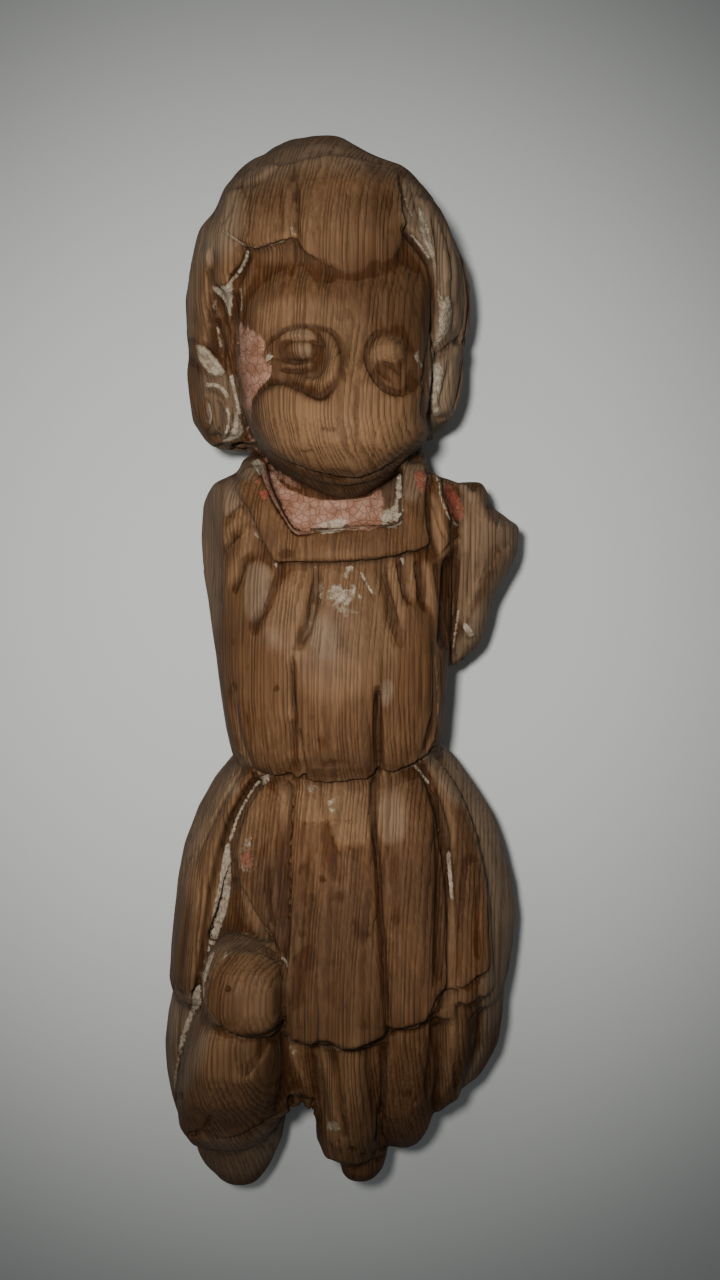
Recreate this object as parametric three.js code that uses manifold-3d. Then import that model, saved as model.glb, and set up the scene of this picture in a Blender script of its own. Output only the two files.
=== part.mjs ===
// A weathered pine cherub figure, carved from one billet and lying on its flat hewn back.
// Millimetres: +Y runs from the broken foot to the crown, +X to the viewer's right, +Z out of the chest.

import * as THREE from "three";
import { mergeVertices } from "three/addons/utils/BufferGeometryUtils.js";
import Module from "manifold-3d";

const wasm = await Module();
wasm.setup();

// Driving dimensions: landmarks along the figure, then widths and the carver's habits
const CROWN = 331;
const HAIRLINE = 289;
const HEAD_MIDDLE = 282;
const CHIN = 218.5;
const SHOULDER = 217;
const COLLAR = 199;
const WAIST = 139;
const HEM = 70;
const LEG_GAP_TOP = 31;
const HEAD_WIDTH = 86;
const HEAD_CENTRE = -5.5;
const LEG_GAP = [-23.5, -8.4];
const LAYER_STEP = 3.2;
const GROOVE_WIDTH = 3.4;
const GROOVE_DEPTH = 2.6;
const BURIED = 7;
const BILLET_BACK = -30;
const REACH = 200;

const PINE = new THREE.MeshStandardMaterial({ color: 0x7a5233, roughness: 0.78, metalness: 0 });

// A sine or cosine raised to a power with its sign kept, for squared-off rounds
function squared(value, squareness) {
  return Math.sign(value) * Math.abs(value) ** (2 / squareness);
}

// A value between two stations on a smooth curve that also knows the stations before and after
function smooth(before, start, end, after, t) {
  const slopeStart = (end - before) / 2;
  const slopeEnd = (after - start) / 2;
  const cubic = 2 * start - 2 * end + slopeStart + slopeEnd;
  const square = -3 * start + 3 * end - 2 * slopeStart - slopeEnd;
  return ((cubic * t + square) * t + slopeStart) * t + start;
}

// A form from rows of [y, left, right, widest height, front height, back height]
function form(rows, squareness = 2.3) {
  const last = rows.length - 1;
  const at = (y) => {
    let index = 0;
    while (index < last - 1 && y > rows[index + 1][0]) index += 1;
    const t = THREE.MathUtils.clamp((y - rows[index][0]) / (rows[index + 1][0] - rows[index][0]), 0, 1);
    const stations = [-1, 0, 1, 2].map((step) => rows[THREE.MathUtils.clamp(index + step, 0, last)]);
    const read = (column) => smooth(...stations.map((row) => row[column] ?? BILLET_BACK), t);
    return { left: read(1), right: read(2), widest: read(3), front: read(4), back: read(5), squareness };
  };
  return { from: rows[0][0], to: rows[last][0], at };
}

// An egg, from its centre, its half sizes along X, Y and Z, and its depth behind
function egg([x, y, z], [halfWidth, halfLength, depth, behind = depth], squareness = 2.1) {
  const at = (station) => {
    const away = Math.min(1, Math.abs(station - y) / halfLength);
    const swell = (1 - away ** squareness) ** (1 / squareness);
    return {
      left: x - halfWidth * swell,
      right: x + halfWidth * swell,
      widest: z,
      front: z + depth * swell,
      back: z - behind * swell,
      squareness,
    };
  };
  return { from: y - halfLength, to: y + halfLength, at };
}

// Height of a form's front surface over a point, or its widest height beyond its outline
function frontOf(shape, x, y) {
  const { left, right, widest, front, squareness } = shape.at(y);
  const away = Math.min(1, Math.abs(x - (left + right) / 2) / ((right - left) / 2));
  return widest + (front - widest) * (1 - away ** squareness) ** (1 / squareness);
}

// A mass lofted along Y through a form, with closer rings near its ends
function mass(shape, sides = 24, rings = 8) {
  const geometry = new THREE.CylinderGeometry(1, 1, 1, sides, rings);
  const position = geometry.attributes.position;
  for (let i = 0; i < position.count; i += 1) {
    const along = 0.5 - 0.5 * Math.cos(Math.PI * (position.getY(i) + 0.5));
    const y = THREE.MathUtils.lerp(shape.from, shape.to, along);
    const { left, right, widest, front, back, squareness } = shape.at(y);
    const across = squared(position.getX(i), squareness);
    const up = squared(position.getZ(i), squareness);
    const reach = up > 0 ? front - widest : widest - back;
    position.setXYZ(i, (left + right) / 2 + (across * (right - left)) / 2, y, widest + up * reach);
  }
  return geometry;
}

// A curve through a few points of an edge
function edge(points) {
  return new THREE.SplineCurve(points.map(([x, y]) => new THREE.Vector2(x, y)));
}

// A slab between two edges; heights gives its underside and its top at each place
function slab({ left, right, sag = 0, columns = 3, rows = 8 }, heights) {
  const geometry = new THREE.BoxGeometry(1, 1, 1, columns, rows, 1);
  const position = geometry.attributes.position;
  const leftEdge = edge(left);
  const rightEdge = edge(right);
  for (let i = 0; i < position.count; i += 1) {
    const across = position.getX(i) + 0.5;
    const along = 0.5 - position.getY(i);
    const bulge = 1 - (2 * across - 1) ** 2;
    const point = leftEdge.getPoint(along).lerp(rightEdge.getPoint(along), across);
    point.y -= sag * bulge * along ** 2;
    const [under, top] = heights({ point, across, bulge });
    position.setXYZ(i, point.x, point.y, position.getZ(i) > 0 ? top : under);
  }
  return geometry;
}

// A layer of cloth or a lock of hair that lies on a form and stands proud of it
function layer(shape, { rise = LAYER_STEP, fall = rise, crown = 1, ...outline }) {
  return slab(outline, ({ point, across, bulge }) => {
    const ground = frontOf(shape, point.x, point.y);
    return [ground - BURIED, ground + THREE.MathUtils.lerp(rise, fall, across) + crown * bulge];
  });
}

// A hollow cut into a form between two edges, from one depth at the left to another at the right
function pocket(shape, { depth, depthRight = depth, ...outline }) {
  const above = 20;
  return slab(outline, ({ point, across }) => {
    const ground = frontOf(shape, point.x, point.y);
    return [ground - THREE.MathUtils.lerp(depth, depthRight, across), ground + above];
  });
}

// A chisel's V cut along a curve on a form's surface, lifted where a layer lies on it
function groove(shape, points, { lift = 0, width = GROOVE_WIDTH, depth = GROOVE_DEPTH, rows = 4 } = {}) {
  const above = 3;
  const keel = 0.1;
  const shallowEnd = 0.35;
  const geometry = new THREE.BoxGeometry(1, 1, 1, 1, rows, 1);
  const position = geometry.attributes.position;
  const path = edge(points);
  for (let i = 0; i < position.count; i += 1) {
    const along = 0.5 - position.getY(i);
    const point = path.getPoint(along);
    const forward = path.getTangent(along);
    const open = position.getZ(i) > 0;
    const half = Math.sign(position.getX(i)) * (open ? (width / 2) * (1 + above / depth) : keel);
    const fade = Math.min(1, shallowEnd + 4 * along * (1 - along));
    const ground = frontOf(shape, point.x, point.y) + lift;
    const height = open ? ground + above : ground - depth * fade;
    position.setXYZ(i, point.x - half * forward.y, point.y + half * forward.x, height);
  }
  return geometry;
}

function box([x0, y0, z0], [x1, y1, z1]) {
  const geometry = new THREE.BoxGeometry(x1 - x0, y1 - y0, z1 - z0);
  return geometry.translate((x0 + x1) / 2, (y0 + y1) / 2, (z0 + z1) / 2);
}

function solid(geometry) {
  const bare = geometry.clone();
  bare.deleteAttribute("normal");
  bare.deleteAttribute("uv");
  const merged = mergeVertices(bare, 1e-4);
  return new wasm.Manifold(
    new wasm.Mesh({
      numProp: 3,
      vertProperties: new Float32Array(merged.attributes.position.array),
      triVerts: new Uint32Array(merged.index.array),
    }),
  );
}

function join(geometries) {
  return geometries.map(solid).reduce((whole, piece) => whole.add(piece));
}

function cut(whole, geometries) {
  return geometries.map(solid).reduce((rest, tool) => rest.subtract(tool), whole);
}

// Trunk, with the bodice gathered under a flat collar band
const trunk = form([
  [WAIST - 10, -14, 10, 40, 58],
  [WAIST - 6, -27, 22, 42, 70],
  [WAIST - 2, -32.5, 28, 43, 76],
  [WAIST + 5, -35.5, 30.5, 43, 79],
  [WAIST + 21, -37.8, 32, 44, 81],
  [WAIST + 41, -40.6, 33.5, 44, 79],
  [SHOULDER - 14, -44.6, 34, 44, 74],
  [SHOULDER, -45, 33, 44, 71],
  [SHOULDER + 9, -40, 32, 44, 66],
  [SHOULDER + 16, -31, 27, 42, 60],
  [SHOULDER + 23, -22, 18, 38, 52],
], 2.5);

function bodice() {
  const corner = [-19, COLLAR];
  const innerCorner = [-13.5, COLLAR + 8.5];
  const band = { rise: 3.4, fall: 3, crown: 0.3, rows: 4, columns: 2 };
  const straps = [
    { left: [[-33.5, COLLAR + 28], [-26, COLLAR + 13], corner], right: [[-24, COLLAR + 29], [-19, COLLAR + 18], innerCorner] },
    { left: [corner, [2, COLLAR + 0.5], [25.5, COLLAR + 3.5]], right: [innerCorner, [0, COLLAR + 8], [18, COLLAR + 11.5]] },
    { left: [[18, COLLAR + 30], [17.5, COLLAR + 11]], right: [[26.5, COLLAR + 31], [25.5, COLLAR + 3]] },
  ];
  return [mass(trunk, 32, 14), ...straps.map((outline) => layer(trunk, { ...band, ...outline }))];
}

function neckOpening() {
  const left = [[-24.3, COLLAR + 33], [-19, COLLAR + 18], [-13.5, COLLAR + 8.5]];
  const right = [[18, COLLAR + 33], [17.8, COLLAR + 21], [17.5, COLLAR + 11.3]];
  return pocket(trunk, { left, right, depth: 10, columns: 2, rows: 3 });
}

function bodiceFolds() {
  const gathers = [
    [[-28, COLLAR + 14], [-37, COLLAR]],
    [[-26, COLLAR + 3], [-31, COLLAR - 9]],
    [[-18.5, COLLAR - 1], [-23, COLLAR - 12.5], [-25.5, COLLAR - 21]],
    [[-8.5, COLLAR - 1], [-9.5, COLLAR - 14], [-13, COLLAR - 26]],
    [[12, COLLAR], [14.5, COLLAR - 12.5], [17, COLLAR - 25]],
    [[18, COLLAR + 1], [19.5, COLLAR - 13]],
    [[23, COLLAR + 1], [25.5, COLLAR - 16]],
  ];
  const pleats = [
    [[-14.5, WAIST + 35], [-14.5, WAIST + 15], [-13, WAIST - 5]],
    [[10.8, WAIST + 25], [10.5, WAIST + 11], [10.5, WAIST - 5]],
    [[-33, WAIST + 25], [-30.5, WAIST + 9.5], [-26, WAIST - 3]],
    [[28.5, WAIST + 37], [28, WAIST + 15.5], [23, WAIST - 1]],
  ];
  return [...gathers, ...pleats].map((points) => groove(trunk, points));
}

// The flat side where the arm on the viewer's left is lost
function armScar() {
  const [depth, length, height] = [40, 82, 90];
  const lean = THREE.MathUtils.degToRad(23);
  const scar = new THREE.BoxGeometry(depth, length, height);
  scar.translate(-depth / 2, 0, 0);
  scar.rotateY(lean);
  return scar.translate(-44.2, SHOULDER - 29, 44);
}

const throat = form([
  [200, -27, 22, 40, 60],
  [222, -24, 18, 40, 62],
  [250, -22, 16, 40, 66],
]);

// Head of hair: the crown, and the curls beside the face
const hair = egg([HEAD_CENTRE, HEAD_MIDDLE, 44], [HEAD_WIDTH / 2, CROWN - HEAD_MIDDLE, 41, 62], 2);
const curls = form([
  [236.5, -41, 0, 46, 54, 36],
  [240, -45, 20, 46, 58, 20],
  [244, -47, 32, 45, 61, 2],
  [248, -48, 35, 44, 63, -14],
  [255, -48.6, 36, 44, 65, -22],
  [270, -48.8, 38.4, 44, 69, -24],
  [285, -48.8, 38.2, 44, 72, -20],
  [296, -45.5, 33.5, 44, 74, -12],
  [305, -38, 26, 44, 70, 8],
]);

function locks() {
  const fringe = [
    {
      left: [[-12.8, 311], [-12.2, 294], [-11, 285], [-7, 280], [-1.5, 276.5]],
      right: [[16, 315], [18, 299], [17, 288], [13.5, 281], [8, 277]],
      rise: 2.6,
      sag: 1.6,
    },
    { left: [[-27, 311], [-28.5, 298], [-28.5, 287]], right: [[-14.3, 311], [-13.8, 296], [-12.8, 286]], rise: 2, sag: 1.5 },
    { left: [[-37, 306], [-40, 293], [-37, 277]], right: [[-28, 306], [-29.5, 290], [-30, 273]], rise: 1.6 },
    { left: [[22, 305], [26, 291], [27, 276.5], [27, 263]], right: [[32, 306], [38, 294], [40, 280], [38.4, 268]], rise: 1.4 },
  ];
  const sides = [
    { left: [[-44, 299], [-48.4, 288], [-48.4, 268]], right: [[-38.5, 296], [-40.5, 280], [-40, 264]], rise: 1.4 },
    { left: [[-38, 279], [-38, 263]], right: [[-31, 278], [-31.5, 254]], rise: 1, rows: 4 },
    { left: [[-48, 271], [-44.5, 261], [-37, 256]], right: [[-40, 268], [-33, 262.5], [-27, 254]], rise: 2.2, rows: 5 },
    { left: [[-48.4, 261], [-47, 250], [-43, 240]], right: [[-31, 254], [-29, 246], [-31, 238]], rise: 2.4, rows: 5 },
    { left: [[28, 265], [26, 253], [26.5, 244]], right: [[38, 268], [37, 254], [34, 246]], rise: 2, rows: 5 },
  ];
  return [
    ...fringe.map((outline) => layer(hair, { crown: 1.2, rows: 6, ...outline })),
    ...sides.map((outline) => layer(curls, { crown: 1.6, rows: 6, ...outline })),
  ];
}

// Face, worn smooth, with two shallow round eye hollows
const face = form([
  [CHIN, -2, 4, 64, 70],
  [CHIN + 2, -8, 9, 66, 82],
  [CHIN + 5.5, -15, 13, 66, 89],
  [CHIN + 10.5, -21, 18.5, 66, 94],
  [CHIN + 19.5, -27, 23.5, 66, 96],
  [CHIN + 28.5, -29.5, 25.5, 64, 94],
  [CHIN + 37.5, -30.7, 26.5, 62, 91],
  [HAIRLINE - 17, -30.7, 27, 60, 89],
  [HAIRLINE - 6, -28.5, 25.5, 58, 84],
  [HAIRLINE, -22, 18, 56, 78],
], 2.5);
const EYES = [
  { x: -9.2, y: 253.5, hollow: 11, lid: 4.2 },
  { x: 14, y: 252.5, hollow: 9.4, lid: 3.4 },
];

function eyeHollows() {
  return EYES.map(({ x, y, hollow }) => mass(egg([x, y, 98], [hollow, hollow, hollow]), 16, 7));
}

function eyelids() {
  return EYES.map(({ x, y, lid }) => mass(egg([x - 1.5, y + 0.6 * lid, 85], [lid * 1.5, lid, 5.5]), 12, 5));
}

function head() {
  const block = join([mass(hair, 32, 13), mass(curls, 24, 9), ...locks(), mass(face, 26, 12)]);
  return cut(block, eyeHollows());
}

// Skirt in overlapping pleats, the centre one on top
const skirt = form([
  [HEM - 4, -57.4, 54, 27, 76.5],
  [HEM, -57.6, 55.6, 28, 77],
  [HEM + 10, -57, 57.4, 28, 76],
  [HEM + 22, -55.4, 58, 28, 74],
  [HEM + 35, -53.6, 55, 28, 71],
  [WAIST - 19, -48.6, 48.7, 30, 68],
  [WAIST - 5, -41, 40, 32, 66],
  [WAIST, -36.5, 36, 34, 64],
  [WAIST + 7, -27, 28, 36, 60],
], 2.2);

function skirtPleats() {
  const pleats = [
    {
      left: [[-33, WAIST], [-41, 127], [-46.5, 114.5], [-52, 104], [-55, 88], [-57, HEM - 1]],
      right: [[-24, WAIST - 1], [-31.5, 126], [-36, 113], [-38.5, 100.5], [-41.5, 84.5], [-44, HEM - 1]],
      rise: 2,
      fall: 4.5,
    },
    {
      left: [[-22, WAIST], [-28.5, 126], [-31.5, 112], [-28, 105], [-22.5, 96], [-15, 85]],
      right: [[-15, WAIST], [-14.5, 119], [-14.5, 112], [-14.5, 103], [-14.5, 94], [-14.5, 84.5]],
      rise: 4,
    },
    {
      left: [[-15.2, WAIST], [-15.4, 116], [-15.4, 89], [-15, HEM - 4.5]],
      right: [[9.5, WAIST], [10.5, 116], [11.6, 94.5], [12.8, HEM - 4]],
      rise: 5,
      crown: 1.6,
      sag: 2.4,
    },
    {
      left: [[10.5, WAIST + 1], [11.5, 115.5], [12.5, 88], [13.5, HEM - 2.5]],
      right: [[21.5, WAIST + 2], [28, 122.5], [30.5, 105], [30, 81.5], [27.5, HEM + 1]],
      rise: 4.4,
      crown: 1.8,
    },
    {
      left: [[22.5, WAIST + 2], [29.5, 128], [32.5, 109.5], [33, 88.5], [33, HEM + 0.5]],
      right: [[27.5, WAIST + 3], [36.5, 128], [42, 113], [45.5, 96.5], [47, HEM + 2.5]],
      rise: 3.4,
      crown: 1.4,
    },
  ];
  return [mass(skirt, 36, 11), ...pleats.map((outline) => layer(skirt, outline))];
}

function skirtHollows() {
  const parting = [[-24, WAIST - 2], [-31.5, 126], [-35.8, 113], [-39, 96], [-43, HEM - 2]];
  return [
    groove(skirt, parting, { width: 4, depth: 6, lift: 2.5, rows: 6 }),
    pocket(skirt, {
      left: [[-33, 112], [-35.5, 101], [-38.5, 90], [-40.5, 80], [-42.5, HEM - 6]],
      right: [[-31.5, 111], [-28.5, 104], [-22.5, 96], [-15, 85], [-14.8, HEM - 6]],
      depth: 8,
      depthRight: 3,
      columns: 2,
      rows: 6,
    }),
  ];
}

// Petticoat below the skirt's hem
const petticoat = form([
  [17, -52, 14, 26, 42],
  [20, -54, 23, 26, 46],
  [26, -56, 27, 26, 52],
  [29.5, -57, 36, 26, 55],
  [33, -58, 42, 26, 58],
  [42, -59.2, 48.9, 26, 62],
  [52, -59.2, 52.3, 26, 66],
  [HEM - 10, -57.5, 54, 26, 69],
  [HEM + 8, -54, 55, 28, 70],
]);

function petticoatFolds() {
  const folds = [
    { left: [[31.5, HEM + 4], [30.5, 52.5], [28.5, 30]], right: [[38, HEM + 4], [37.5, 50.5], [35, 27]], rise: 3, crown: 1.5 },
    { left: [[12.5, HEM], [12, 41.5], [12, 18]], right: [[27, HEM], [27.5, 46.5], [26, 22]], rise: 3, crown: 1 },
  ];
  return [mass(petticoat, 32, 10), ...folds.map((outline) => layer(petticoat, { rows: 5, ...outline }))];
}

// Bent leg on the viewer's left, wrapped in cloth to below the knee, its foot broken off
const stump = form([
  [0, -37, -31, 24, 28, -2],
  [2, -42.5, -26, 24, 35, -6],
  [10, -46.8, -21.4, 26, 42, -8],
  [20, -48, -18.8, 28, 50, -10],
  [34, -47, -18, 30, 56, -10],
], 2.2);
const shin = form([
  [19.5, -46, -26, 36, 48, -4],
  [22, -50.5, -21.5, 34, 56, -8],
  [28, -52, -18.2, 34, 62, -10],
  [35, -52, -17.2, 34, 68, -12],
  [45, -50.5, -15.5, 34, 78],
  [60, -46.5, -13.5, 36, 85],
  [80, -40, -13.5, 40, 80],
], 2.8);
const knee = egg([-26.6, 78.4, 66], [13, 12.6, 25.5], 3);

// Straight leg in its cuff, with the broken ankle below it
const column = form([
  [16.5, -4, 8.5, 40, 52, 26],
  [19.5, -7.5, 11, 40, 60, 18],
  [27, -8.6, 11.3, 40, 66, 10],
  [45, -8.2, 11.8, 40, 70, 6],
  [HEM - 4, -8, 12, 42, 74, 4],
], 2.4);
const ankle = form([
  [8.4, 0, 10.5, 40, 48, 32],
  [10.5, -1.4, 12, 40, 52, 27],
  [24, -1.4, 12, 40, 54, 25],
], 2.6);

function legs() {
  return [mass(stump, 22, 7), mass(shin, 24, 9), mass(knee, 20, 7), mass(column, 20, 6), mass(ankle, 16, 3)];
}

// Sleeve stump on the viewer's right, with two scrolls between it and the collar
const sleeve = form([
  [SHOULDER - 49, 32.5, 36.5, 30, 38, 22],
  [SHOULDER - 46, 31, 41, 30, 44, 14],
  [SHOULDER - 34, 30, 50.5, 30, 50, 7],
  [SHOULDER - 24, 30, 54.4, 30, 52, 5],
  [SHOULDER - 13, 30, 56.2, 30, 52, 5],
  [SHOULDER - 5, 30, 56.8, 30, 52, 6],
  [SHOULDER + 2, 30, 55.8, 30, 50, 8],
  [SHOULDER + 8, 32, 50, 30, 46, 15],
  [SHOULDER + 10, 35, 46, 30, 40, 22],
]);

function rightSleeve() {
  const scrolls = [
    { left: [[26.5, 227], [26.5, 210], [28.5, 199]], right: [[31, 228], [32, 214], [35, 205]], rise: 0, fall: 3 },
    { left: [[31, 227], [32.5, 214], [34, 206]], right: [[41, 224], [43, 215], [36, 205]], rise: 2, fall: 5 },
  ];
  return [mass(sleeve, 20, 9), ...scrolls.map((outline) => layer(trunk, { rows: 4, ...outline }))];
}

function sculpture() {
  const legGap = box([LEG_GAP[0], 0, -REACH], [LEG_GAP[1], LEG_GAP_TOP, REACH]);
  const behind = box([-REACH, -REACH, -REACH], [REACH, CROWN + REACH, 0]);
  const draped = join([...bodice(), ...skirtPleats(), ...petticoatFolds()]);
  const hollowed = cut(draped, [...bodiceFolds(), neckOpening(), armScar(), ...skirtHollows(), legGap]);
  const limbs = join([mass(throat, 20, 3), ...eyelids(), ...legs(), ...rightSleeve()]);
  return cut(hollowed.add(head()).add(limbs), [behind]);
}

function meshFrom(manifold, name, material) {
  const { vertProperties, triVerts, numProp } = manifold.getMesh();
  const geometry = new THREE.BufferGeometry();
  geometry.setAttribute("position", new THREE.BufferAttribute(new Float32Array(vertProperties), numProp));
  geometry.setIndex(new THREE.BufferAttribute(new Uint32Array(triVerts), 1));
  geometry.computeVertexNormals();
  const mesh = new THREE.Mesh(geometry, material);
  mesh.name = name;
  return mesh;
}

const figure = meshFrom(sculpture(), "carved_figure", PINE);
figure.geometry.computeBoundingBox();
const { min, max } = figure.geometry.boundingBox;
figure.position.set(-(min.x + max.x) / 2, -(min.y + max.y) / 2, 0);

const group = new THREE.Group();
group.add(figure);

export default group;
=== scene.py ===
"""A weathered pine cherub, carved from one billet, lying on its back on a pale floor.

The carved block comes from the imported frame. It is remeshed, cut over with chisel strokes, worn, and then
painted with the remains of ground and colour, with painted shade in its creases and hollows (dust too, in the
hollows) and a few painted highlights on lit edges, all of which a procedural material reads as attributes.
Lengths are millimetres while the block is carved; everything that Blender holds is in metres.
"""

import logging
import math
from collections.abc import Iterable
from dataclasses import dataclass
from dataclasses import field
from enum import Enum

import bmesh
import bpy
import numpy as np
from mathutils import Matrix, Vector

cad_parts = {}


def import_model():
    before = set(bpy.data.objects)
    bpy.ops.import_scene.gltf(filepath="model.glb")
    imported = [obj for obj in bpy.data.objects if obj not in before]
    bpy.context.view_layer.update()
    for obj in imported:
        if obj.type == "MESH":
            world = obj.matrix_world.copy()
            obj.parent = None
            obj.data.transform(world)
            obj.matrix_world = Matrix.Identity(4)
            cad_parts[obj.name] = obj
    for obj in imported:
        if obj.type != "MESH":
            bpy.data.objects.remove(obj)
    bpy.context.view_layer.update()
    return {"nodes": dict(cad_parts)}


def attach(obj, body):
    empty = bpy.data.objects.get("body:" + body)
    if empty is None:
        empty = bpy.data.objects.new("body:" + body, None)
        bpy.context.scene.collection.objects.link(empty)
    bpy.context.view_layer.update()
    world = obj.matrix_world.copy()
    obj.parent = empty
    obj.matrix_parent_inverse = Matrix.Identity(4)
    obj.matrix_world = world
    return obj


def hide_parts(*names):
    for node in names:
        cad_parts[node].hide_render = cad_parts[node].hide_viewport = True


LOG = logging.getLogger("cherub")
MM = 0.001

Point = tuple[float, float]
Path = tuple[Point, ...]


@dataclass(frozen=True)
class Lens:
    """The photograph's camera, looking straight down on the figure. Millimetres and picture pixels."""

    width: int = 720
    height: int = 1280
    focal_pixels: float = 1040.0
    above_floor: float = 370.0
    axis_x: float = 5.83
    axis_y: float = 11.0

    def seen(self, points: np.ndarray) -> tuple[np.ndarray, np.ndarray]:
        """Projects points into the picture.

        Args:
            points: positions in millimetres, one row each.

        Returns:
            Their picture coordinates, and the size of a pixel in millimetres at each.
        """
        scale = (self.above_floor - points[:, 2]) / self.focal_pixels
        across = self.width / 2 + (points[:, 0] - self.axis_x) / scale
        down = self.height / 2 - (points[:, 1] - self.axis_y) / scale
        return np.column_stack([across, down]), scale


class View(Enum):
    """The side from which a mark is laid out."""

    FRONT = "front"
    LEFT = "left"
    RIGHT = "right"
    BACK = "back"
    CROWN = "crown"

    @property
    def facing(self) -> np.ndarray:
        """The direction from the figure towards the carver."""
        return {
            View.FRONT: np.array([0.0, 0.0, 1.0]),
            View.LEFT: np.array([-1.0, 0.0, 0.0]),
            View.RIGHT: np.array([1.0, 0.0, 0.0]),
            View.BACK: np.array([0.0, 0.0, -1.0]),
            View.CROWN: np.array([0.0, 1.0, 0.0]),
        }[self]

    @property
    def plane(self) -> tuple[int, int]:
        """The two axes, X, Y or Z, that a mark on this side is laid out in."""
        return {View.LEFT: (1, 2), View.RIGHT: (1, 2), View.BACK: (0, 1), View.CROWN: (0, 2)}[self]


class Profile(Enum):
    """The cross-section a stroke leaves."""

    VEE = "vee"
    GOUGE = "gouge"
    RIDGE = "ridge"


class Coat(Enum):
    """What a mark of colour is made of. Each is a vertex attribute that the finish reads."""

    # GESSO is the white ground; a few of its marks on lit edges are painted highlights.
    GESSO = "gesso"
    FLESH = "flesh"
    RED = "red"
    PALE = "pale"
    GREY = "grey"
    # DARK marks are painted shade, laid in creases, grooves, recesses and under overhangs.
    DARK = "dark"
    SHINE = "shine"


@dataclass(frozen=True)
class Stroke:
    """A cut or ridge along a path. Its width and depth are millimetres."""

    path: Path
    width: float
    depth: float
    profile: Profile = Profile.VEE
    fade: float = 0.2
    view: View = View.FRONT


@dataclass(frozen=True)
class Step:
    """The edge of a layer, raised on the left hand of a carver who walks along the path. Millimetres."""

    path: Path
    rise: float
    drop: float
    reach: float = 5.0
    fade: float = 0.12
    view: View = View.FRONT


@dataclass(frozen=True)
class Relief:
    """An area raised or sunk as a whole, with a soft border. Millimetres."""

    outline: Path
    height: float
    border: float = 1.2
    view: View = View.FRONT


@dataclass(frozen=True)
class Mound:
    """A round swelling or dent. Half sizes are picture pixels, the height is millimetres along the normal."""

    centre: Point
    halves: Point
    height: float
    lowest: float = 0.0
    squareness: float = 2.0
    view: View = View.FRONT


@dataclass(frozen=True)
class Grab:
    """A pull that moves part of the form across the picture. All in picture pixels."""

    centre: Point
    halves: Point
    shift: Point
    view: View = View.FRONT


@dataclass(frozen=True)
class Trace:
    """A line of colour along a path. Its width is millimetres."""

    coat: Coat
    path: Path
    width: float
    strength: float = 1.0


@dataclass(frozen=True)
class Patch:
    """An area of colour with a soft border in millimetres."""

    coat: Coat
    outline: Path
    strength: float = 1.0
    border: float = 1.0


Mark = Stroke | Step | Relief | Mound | Grab
Colour = Trace | Patch
Marks = dict[str, Mark]
Colours = dict[str, Colour]


def rounded(path: Path, spans: int = 6, closed: bool = False) -> np.ndarray:
    """Rounds a path into a smooth run of points that passes through each of its own.

    Args:
        path: the points to pass through.
        spans: how many pieces each stretch is cut into.
        closed: whether the run comes back to its start.

    Returns:
        The points of the smooth run.
    """
    points = np.array(path, dtype=float)
    if closed:
        points = np.vstack([points[-1:], points, points[:2]])
    else:
        points = np.vstack([2 * points[:1] - points[1:2], points, 2 * points[-1:] - points[-2:-1]])
    before, start, end, after = points[:-3], points[1:-2], points[2:-1], points[3:]
    run = []
    for t in np.arange(spans) / spans:
        run.append(
            0.5 * (2 * start + (end - before) * t + (2 * before - 5 * start + 4 * end - after) * t**2
                   + (3 * start - before - 3 * end + after) * t**3)
        )
    smooth = np.stack(run, axis=1).reshape(-1, 2)
    return smooth if closed else np.vstack([smooth, points[-2:-1]])


def eased(value: np.ndarray, low: float, high: float) -> np.ndarray:
    """A smooth step from 0 at low to 1 at high."""
    t = np.clip((value - low) / (high - low), 0.0, 1.0)
    return t * t * (3 - 2 * t)


def noise(points: np.ndarray, size: tuple[float, float, float], seed: int) -> np.ndarray:
    """Smooth noise in the block, the same on every run.

    Args:
        points: positions in millimetres.
        size: how far the noise reaches along X, Y and Z, in millimetres.
        seed: which of many patterns to use.

    Returns:
        A value from -1 to 1 at each point.
    """
    cells = 32
    lattice = np.random.default_rng(seed).uniform(-1.0, 1.0, (cells, cells, cells))
    place = points / np.array(size) + 1000.0
    corner = np.floor(place).astype(int)
    t = place - corner
    t = t * t * (3 - 2 * t)
    total = np.zeros(len(points))
    for dx in (0, 1):
        for dy in (0, 1):
            for dz in (0, 1):
                weight = np.abs(1 - dx - t[:, 0]) * np.abs(1 - dy - t[:, 1]) * np.abs(1 - dz - t[:, 2])
                i, j, k = ((corner[:, axis] + step) % cells for axis, step in enumerate((dx, dy, dz)))
                total += weight * lattice[i, j, k]
    return total


@dataclass
class Nearest:
    """Where points lie beside a path."""

    distance: np.ndarray
    side: np.ndarray
    along: np.ndarray


def beside(points: np.ndarray, run: np.ndarray) -> Nearest:
    """Measures points against a run of short stretches.

    Args:
        points: two coordinates each.
        run: the run's own points, in the same coordinates.

    Returns:
        For each point its distance from the run, the side it lies on, -1 on a walker's left and 1 on the
        right, and how far along the run it is, from 0 to 1.
    """
    lengths = np.linalg.norm(np.diff(run, axis=0), axis=1)
    travelled = np.concatenate([[0.0], np.cumsum(lengths)])
    best = np.full(len(points), np.inf)
    side = np.ones(len(points))
    along = np.zeros(len(points))
    for start, end, length, reached in zip(run[:-1], run[1:], lengths, travelled):
        if length < 1e-9:
            continue
        forward = (end - start) / length
        offset = points - start
        ahead = np.clip(offset @ forward, 0.0, length)
        away = offset - ahead[:, None] * forward
        distance = np.hypot(away[:, 0], away[:, 1])
        nearer = distance < best
        best = np.where(nearer, distance, best)
        turned = np.where(offset @ np.array([-forward[1], forward[0]]) >= 0, 1.0, -1.0)
        side = np.where(nearer, turned, side)
        along = np.where(nearer, (reached + ahead) / travelled[-1], along)
    return Nearest(best, side, along)


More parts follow.
